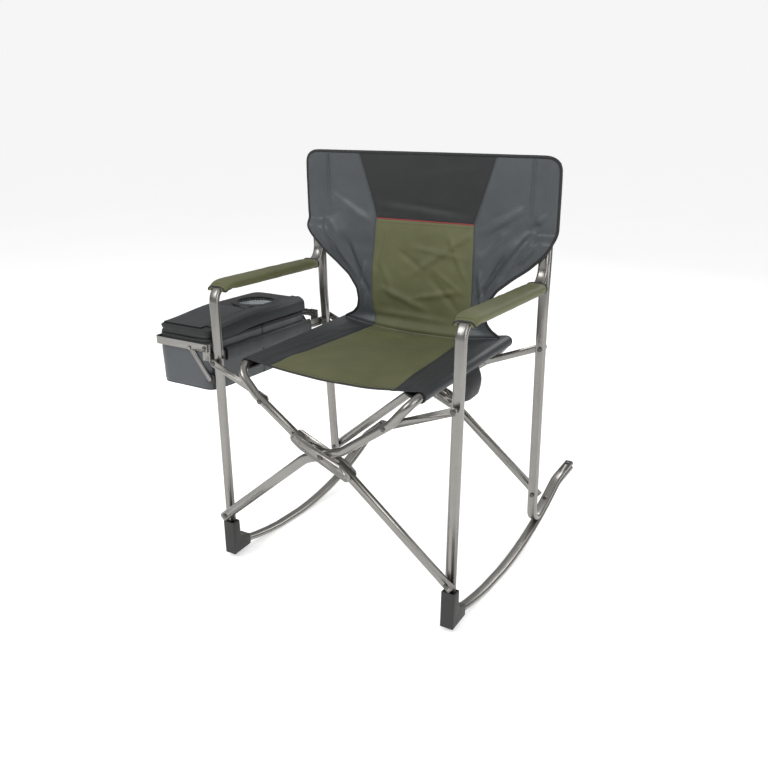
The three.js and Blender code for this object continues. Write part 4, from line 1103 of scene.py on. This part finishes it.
class ROCKER_OT_lid(bpy.types.Operator):
    """Padded cooler lid with its flap, zip, net and piping"""

    bl_idname = "rocker.lid"
    bl_label = "Cooler lid"

    def execute(self, context):
        angles = even_angles(BAG_X, LID_Y, LID_CENTRE, LID_STEPS)
        last = len(LID_SECTION) - 1

        def place(s, t):
            share, tall = LID_SECTION[round(t * last)]
            angle = angles[round(s * LID_STEPS)]
            ex, ey = rounded(angle, BAG_X, LID_Y, LID_CENTRE, BAG_ROUND)
            cx, cy = CUP_X + CUP_R * math.cos(angle), CUP_Y + CUP_R * math.sin(angle)
            x, y = cx + (ex - cx) * share, cy + (ey - cy) * share
            height = lid_top(y) - LID_LOW
            z = LID_LOW + height * tall
            if tall > 0.9 and 0.02 < share:
                puff = math.sin(math.pi * min(1, share * 1.05)) ** 0.6
                z += puff * (1.3 * lumps(x, y, 4, 55) + 0.6 * lumps(x, y, 9, 22)) - 0.4
            if 0.1 < tall < 0.9 < share and abs(y - BAG_CENTRE[1]) < 170:
                x += math.copysign(0.9 * lumps(x, y, z, 30), x - BAG_CENTRE[0])
            return at(x, y, z)

        lid = piece(
            "cooler_top", surface(LID_STEPS, last, place), ("black",), "lid", "black_cloth",
            ("cooler_lid",),
        )
        smooth(lid)
        loop = [place(k / LID_STEPS, LID_PIPED_ROW / last) for k in range(LID_STEPS)]
        trim("lid_piping", even(loop, 0.006, True), 0.0019, UP, "lid", closed=True, levels=1)
        self.sheen_panel()
        self.flap()
        self.zip()
        self.cup()
        return {"FINISHED"}

    def sheen_panel(self):
        """Painted sheen: a sewn panel of dark grey cloth on the lid's slope, in front of the cup
        holder, lighter than the black lid where the slope shows a reflection.
        """

        def place(s, t):
            x = -461 + 112 * s
            y = 12 + (150 + 10 * math.sin(math.pi * s)) * t
            rim = min(s, 1 - s, t, 1 - t)
            lift = 1.2 + 1.6 * ease(0, 0.14, rim)
            return at(x, y, lid_top(y) + (lift + lumps(x, y, 44, 30) * ease(0, 0.1, rim)))

        # dark grey cloth on the black lid here is painted sheen, standing for the slope's
        # reflection
        panel = piece("lid_sheen_panel", surface(40, 50, place), ("dark",), "lid", "black_cloth")
        thicken(panel, 0.0012)
        shares = [k / 40 for k in range(40)]
        rim = [place(0, k) for k in shares] + [place(k, 1) for k in shares]
        rim += [place(1, 1 - k) for k in shares] + [place(1 - k, 0) for k in shares]
        rim = even(rim, 0.005, True)
        edge = trim("sheen_panel_binding", rim, 0.0012, UP, "lid", closed=True)

    def flap(self):
        """The loose flap along the side next to the seat."""
        first, final = 26.0, 340.0

        def place(s, t):
            spot = s * (len(FLAP_PATH) - 1)
            i = min(int(spot), len(FLAP_PATH) - 2)
            x, rise = [a + (b - a) * (spot - i) for a, b in zip(FLAP_PATH[i], FLAP_PATH[i + 1])]
            y = first + (final - first) * t
            z = max(lid_top(y) + rise, FLAP_LOWEST)
            z += (0.5 * lumps(x, y, 31, 34) + 0.7 * math.sin(s * 21)) * (1 - s)
            return at(x, y, z + 0.4)

        flap = piece("lid_flap", surface(36, 60, place), ("dark",), "lid", "black_cloth")
        thicken(flap, 0.0016)
        line = [place(0, k / 60) for k in range(61)]
        edge = trim("flap_binding", even(line, 0.006), 0.0016, UP, "lid")

    def zip(self):
        """A row of zip teeth between the bag and its lid."""
        bm = bmesh.new()
        line = []
        for angle in even_angles(BAG_X, BAG_Y, BAG_CENTRE, ZIP_STEPS)[:ZIP_STEPS]:
            x, y = rounded(angle, BAG_X, BAG_Y, BAG_CENTRE, BAG_ROUND)
            line.append(at(x, y, LID_LOW - 0.4))
        points = even(line, 0.0034, closed=True)
        size = Matrix.Diagonal((0.0016, 0.0016, 0.0034, 1))
        for i, p in enumerate(points):
            ahead = (points[(i + 1) % len(points)] - p).normalized()
            turn = Matrix((ahead, ahead.cross(UP), UP)).transposed().to_4x4()
            bmesh.ops.create_cube(bm, size=1.0, matrix=Matrix.Translation(p) @ turn @ size)
        teeth = piece("zip_teeth", bm, ("black_plastic",), "lid", "black_plastic")
        teeth.data.polygons.foreach_set("use_smooth", [False] * len(teeth.data.polygons))

    def cup(self):
        """The net that hangs in the lid's ring."""
        last = len(CUP_SECTION) - 1

        def place(s, t):
            share, z = CUP_SECTION[round(t * last)]
            spun = s + 0.5 * t * last / CUP_SIDES
            gather = 1 + 0.02 * around(9 * spun)[1] * t
            x, y = (CUP_R * share * gather * way for way in around(spun))
            ruck = 2.2 * lumps(x, y, 5, 16) * ease(0.2, 0.6, t)
            return at(CUP_X + x, CUP_Y + y, z + ruck)

        net = piece(
            "cup_mesh", surface(CUP_SIDES, last, place), ("net",), "lid", "net", ("cup_net",)
        )
        strands = net.modifiers.new("strands", "WIREFRAME")
        strands.thickness = 0.0016
        strands.use_replace = True
        strands.use_even_offset = False
        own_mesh(net)

        def foil(s, t):
            share, z = CUP_SECTION[round(t * last)]
            r = CUP_R * (share + 0.012) if share > 0.05 else 0.0
            x, y = (r * way for way in around(s))
            ruck = 2.6 * lumps(x, y, 15, 11) * ease(0.2, 0.5, t)
            return at(CUP_X + x, CUP_Y + y, z - 4.5 + ruck)

        lining = piece("cup_lining", surface(72, last, foil), ("foil",), "lid", "net")
        thicken(lining, 0.0008)
        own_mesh(lining)


# ---- frame finish ----
SOFT_NODES = {
    "seat_cloth", "back_cloth", "side_pouch", "cooler_bag", "cooler_lid", "cup_net",
    "arm_cover_left", "arm_cover_right",
}


class ROCKER_OT_metal(bpy.types.Operator):
    """Tubes, bars, bolts and mouldings of the frame"""

    bl_idname = "rocker.metal"
    bl_label = "Frame"

    def execute(self, context):
        slots = {part["node"]: part["material_slot"] for part in frame["record"]["subparts"]}
        bodies = frame["record"]["behaviour"]["bodies"]
        body_of = {node: body for body, nodes in bodies.items() for node in nodes}
        for node, source in frame["nodes"].items():
            if node in SOFT_NODES:
                continue
            bm = bmesh.new()
            bm.from_mesh(source.data)
            bmesh.ops.remove_doubles(bm, verts=bm.verts, dist=2e-6)
            slot = slots[node]
            made = piece(node + "_skin", bm, (slot,), body_of[node], slot, (node,))
            made.data.set_sharp_from_angle(angle=math.radians(32))
        return {"FINISHED"}


PLUG_R, PLUG_FLAT = 6.1, 5.5  # end radius, and half the straight side
PLUG_WALL = 0.4  # share of the mesh below the crown


class ROCKER_OT_plugs(bpy.types.Operator):
    """Plugs in the open ends of the arm tubes"""

    bl_idname = "rocker.plugs"
    bl_label = "Tube plugs"

    def execute(self, context):
        for name, side in SIDES:

            def place(s, t, side=side):
                c, n = around(s)
                crown = max(0.0, (t - PLUG_WALL) / (1 - PLUG_WALL))
                r = PLUG_R * (1 - crown**3)
                x = (math.copysign(PLUG_FLAT, c) + PLUG_R * c) * r / PLUG_R
                rise = 2.2 * min(1.0, t / PLUG_WALL) + 0.6 * crown
                return at(side * LEG_X + x, ARM_TIP_Y + r * n, ARM_TIP_Z + 0.1 + rise)

            plug = piece(
                "arm_tip_plug_" + name, surface(32, 10, place), ("black_plastic",),
                name + "_side", "black_plastic",
            )
            smooth(plug)
        return {"FINISHED"}


# ---- studio ----
EYE = (906.5, -1271.4, 990.1)  # the camera's place, in millimetres
VIEW = (-0.4862, 0.7776, -0.3987)  # and the way it looks
LIT = (0, 0, 0.45)  # what the lamps point at, in metres
FLOOR_HALF = 30.0
FLOOR_GLOW = 0.45


def aimed(way):
    """The turn of a camera or lamp that looks along a direction."""
    return Vector(way).to_track_quat("-Z", "Y").to_euler()


class ROCKER_OT_studio(bpy.types.Operator):
    """Floor, soft light and camera"""

    bl_idname = "rocker.studio"
    bl_label = "Studio"

    def execute(self, context):
        studio = context.scene.rocker_studio
        bm = bmesh.new()
        bmesh.ops.create_grid(bm, x_segments=1, y_segments=1, size=FLOOR_HALF)
        mesh = bpy.data.meshes.new("floor")
        bm.to_mesh(mesh)
        bm.free()
        ground = bpy.data.objects.new("floor", mesh)
        context.collection.objects.link(ground)
        paper = Finish("studio paper", Roughness=0.9, Emission_Strength=FLOOR_GLOW)
        tone = paper.noise(paper.coords(), 1.5, 2.0)
        rgb = studio.floor
        stops = [(0.3, shade(rgb, 0.99)), (0.7, shade(rgb, 1.01))]
        paper.give("Base Color", paper.ramp(tone, stops))
        paper.shader.inputs["Emission Color"].default_value = (1, 1, 1, 1)
        mesh.materials.append(paper.material)
        world = bpy.data.worlds.new("studio")
        world.use_nodes = True
        self.sky(world.node_tree, studio.sky)
        context.scene.world = world
        self.lamp("key", (-1.2, -2.4, 2.6), 1.6, studio.key)
        self.lamp("fill", (2.6, -1.4, 1.7), 1.8, studio.key * 0.6)
        self.lamp("rim", (0.4, 2.4, 2.4), 1.6, studio.key * 0.8)
        eye = bpy.data.cameras.new("camera")
        eye.lens = studio.lens
        eye.sensor_width = 36
        eye.shift_x = 0.0117
        eye.shift_y = 0.1025
        camera = bpy.data.objects.new("camera", eye)
        camera.location = at(*EYE)
        camera.rotation_euler = aimed(VIEW)
        context.collection.objects.link(camera)
        context.scene.camera = camera
        context.scene.view_settings.view_transform = "Standard"
        return {"FINISHED"}

    def sky(self, tree, strength):
        """White to the eye, and to the chair bright overhead and dim at the sides."""
        sky = Nodes(tree)
        dim = tree.nodes["Background"]
        dim.inputs["Strength"].default_value = strength
        split = sky.node("SeparateXYZ")
        sky.link(sky.coords("Generated"), split.inputs[0])
        stops = [(0.05, (0.16, 0.16, 0.165)), (0.75, (1, 1, 1))]
        sky.link(sky.ramp(split.outputs["Z"], stops), dim.inputs["Color"])
        white = sky.node("Background", Color=(0.92, 0.92, 0.92, 1))
        seen = sky.node("LightPath").outputs["Is Camera Ray"]
        both = sky.node("MixShader")
        for out, into in zip((seen, dim.outputs[0], white.outputs[0]), both.inputs):
            sky.link(out, into)
        sky.link(both.outputs[0], tree.nodes["World Output"].inputs["Surface"])

    def lamp(self, name, place, size, power):
        light = bpy.data.lights.new(name, "AREA")
        light.energy = power
        light.size = size
        lamp = bpy.data.objects.new(name, light)
        lamp.location = place
        lamp.rotation_euler = aimed(Vector(LIT) - Vector(place))
        bpy.context.collection.objects.link(lamp)


OPERATORS = (
    ROCKER_OT_metal, ROCKER_OT_plugs, ROCKER_OT_seat, ROCKER_OT_back, ROCKER_OT_arms,
    ROCKER_OT_pouch, ROCKER_OT_cooler, ROCKER_OT_rail_sleeve, ROCKER_OT_lid, ROCKER_OT_studio,
)


class ROCKER_PT_panel(bpy.types.Panel):
    """Lists the chair's settings and the pieces that can be made"""

    bl_idname = "ROCKER_PT_panel"
    bl_label = "Camp Rocker"
    bl_space_type = "VIEW_3D"
    bl_region_type = "UI"
    bl_category = "Camp Rocker"

    def draw(self, context):
        for group in SETTINGS:
            settings = getattr(context.scene, group)
            for key in settings.__annotations__:
                self.layout.prop(settings, key)
        for operator in OPERATORS:
            self.layout.operator(operator.bl_idname)


SETTINGS = {
    "rocker_cloth": RockerCloth,
    "rocker_colours": RockerColours,
    "rocker_studio": RockerStudio,
}
CLASSES = (*SETTINGS.values(), *OPERATORS, ROCKER_PT_panel)


def register():
    for made in CLASSES:
        bpy.utils.register_class(made)
    for name, group in SETTINGS.items():
        setattr(bpy.types.Scene, name, PointerProperty(type=group))


def unregister():
    for name in SETTINGS:
        delattr(bpy.types.Scene, name)
    for made in reversed(CLASSES):
        bpy.utils.unregister_class(made)


def main():
    register()
    for operator in OPERATORS:
        group, name = operator.bl_idname.split(".")
        getattr(getattr(bpy.ops, group), name)()


if __name__ == "__main__":
    main()
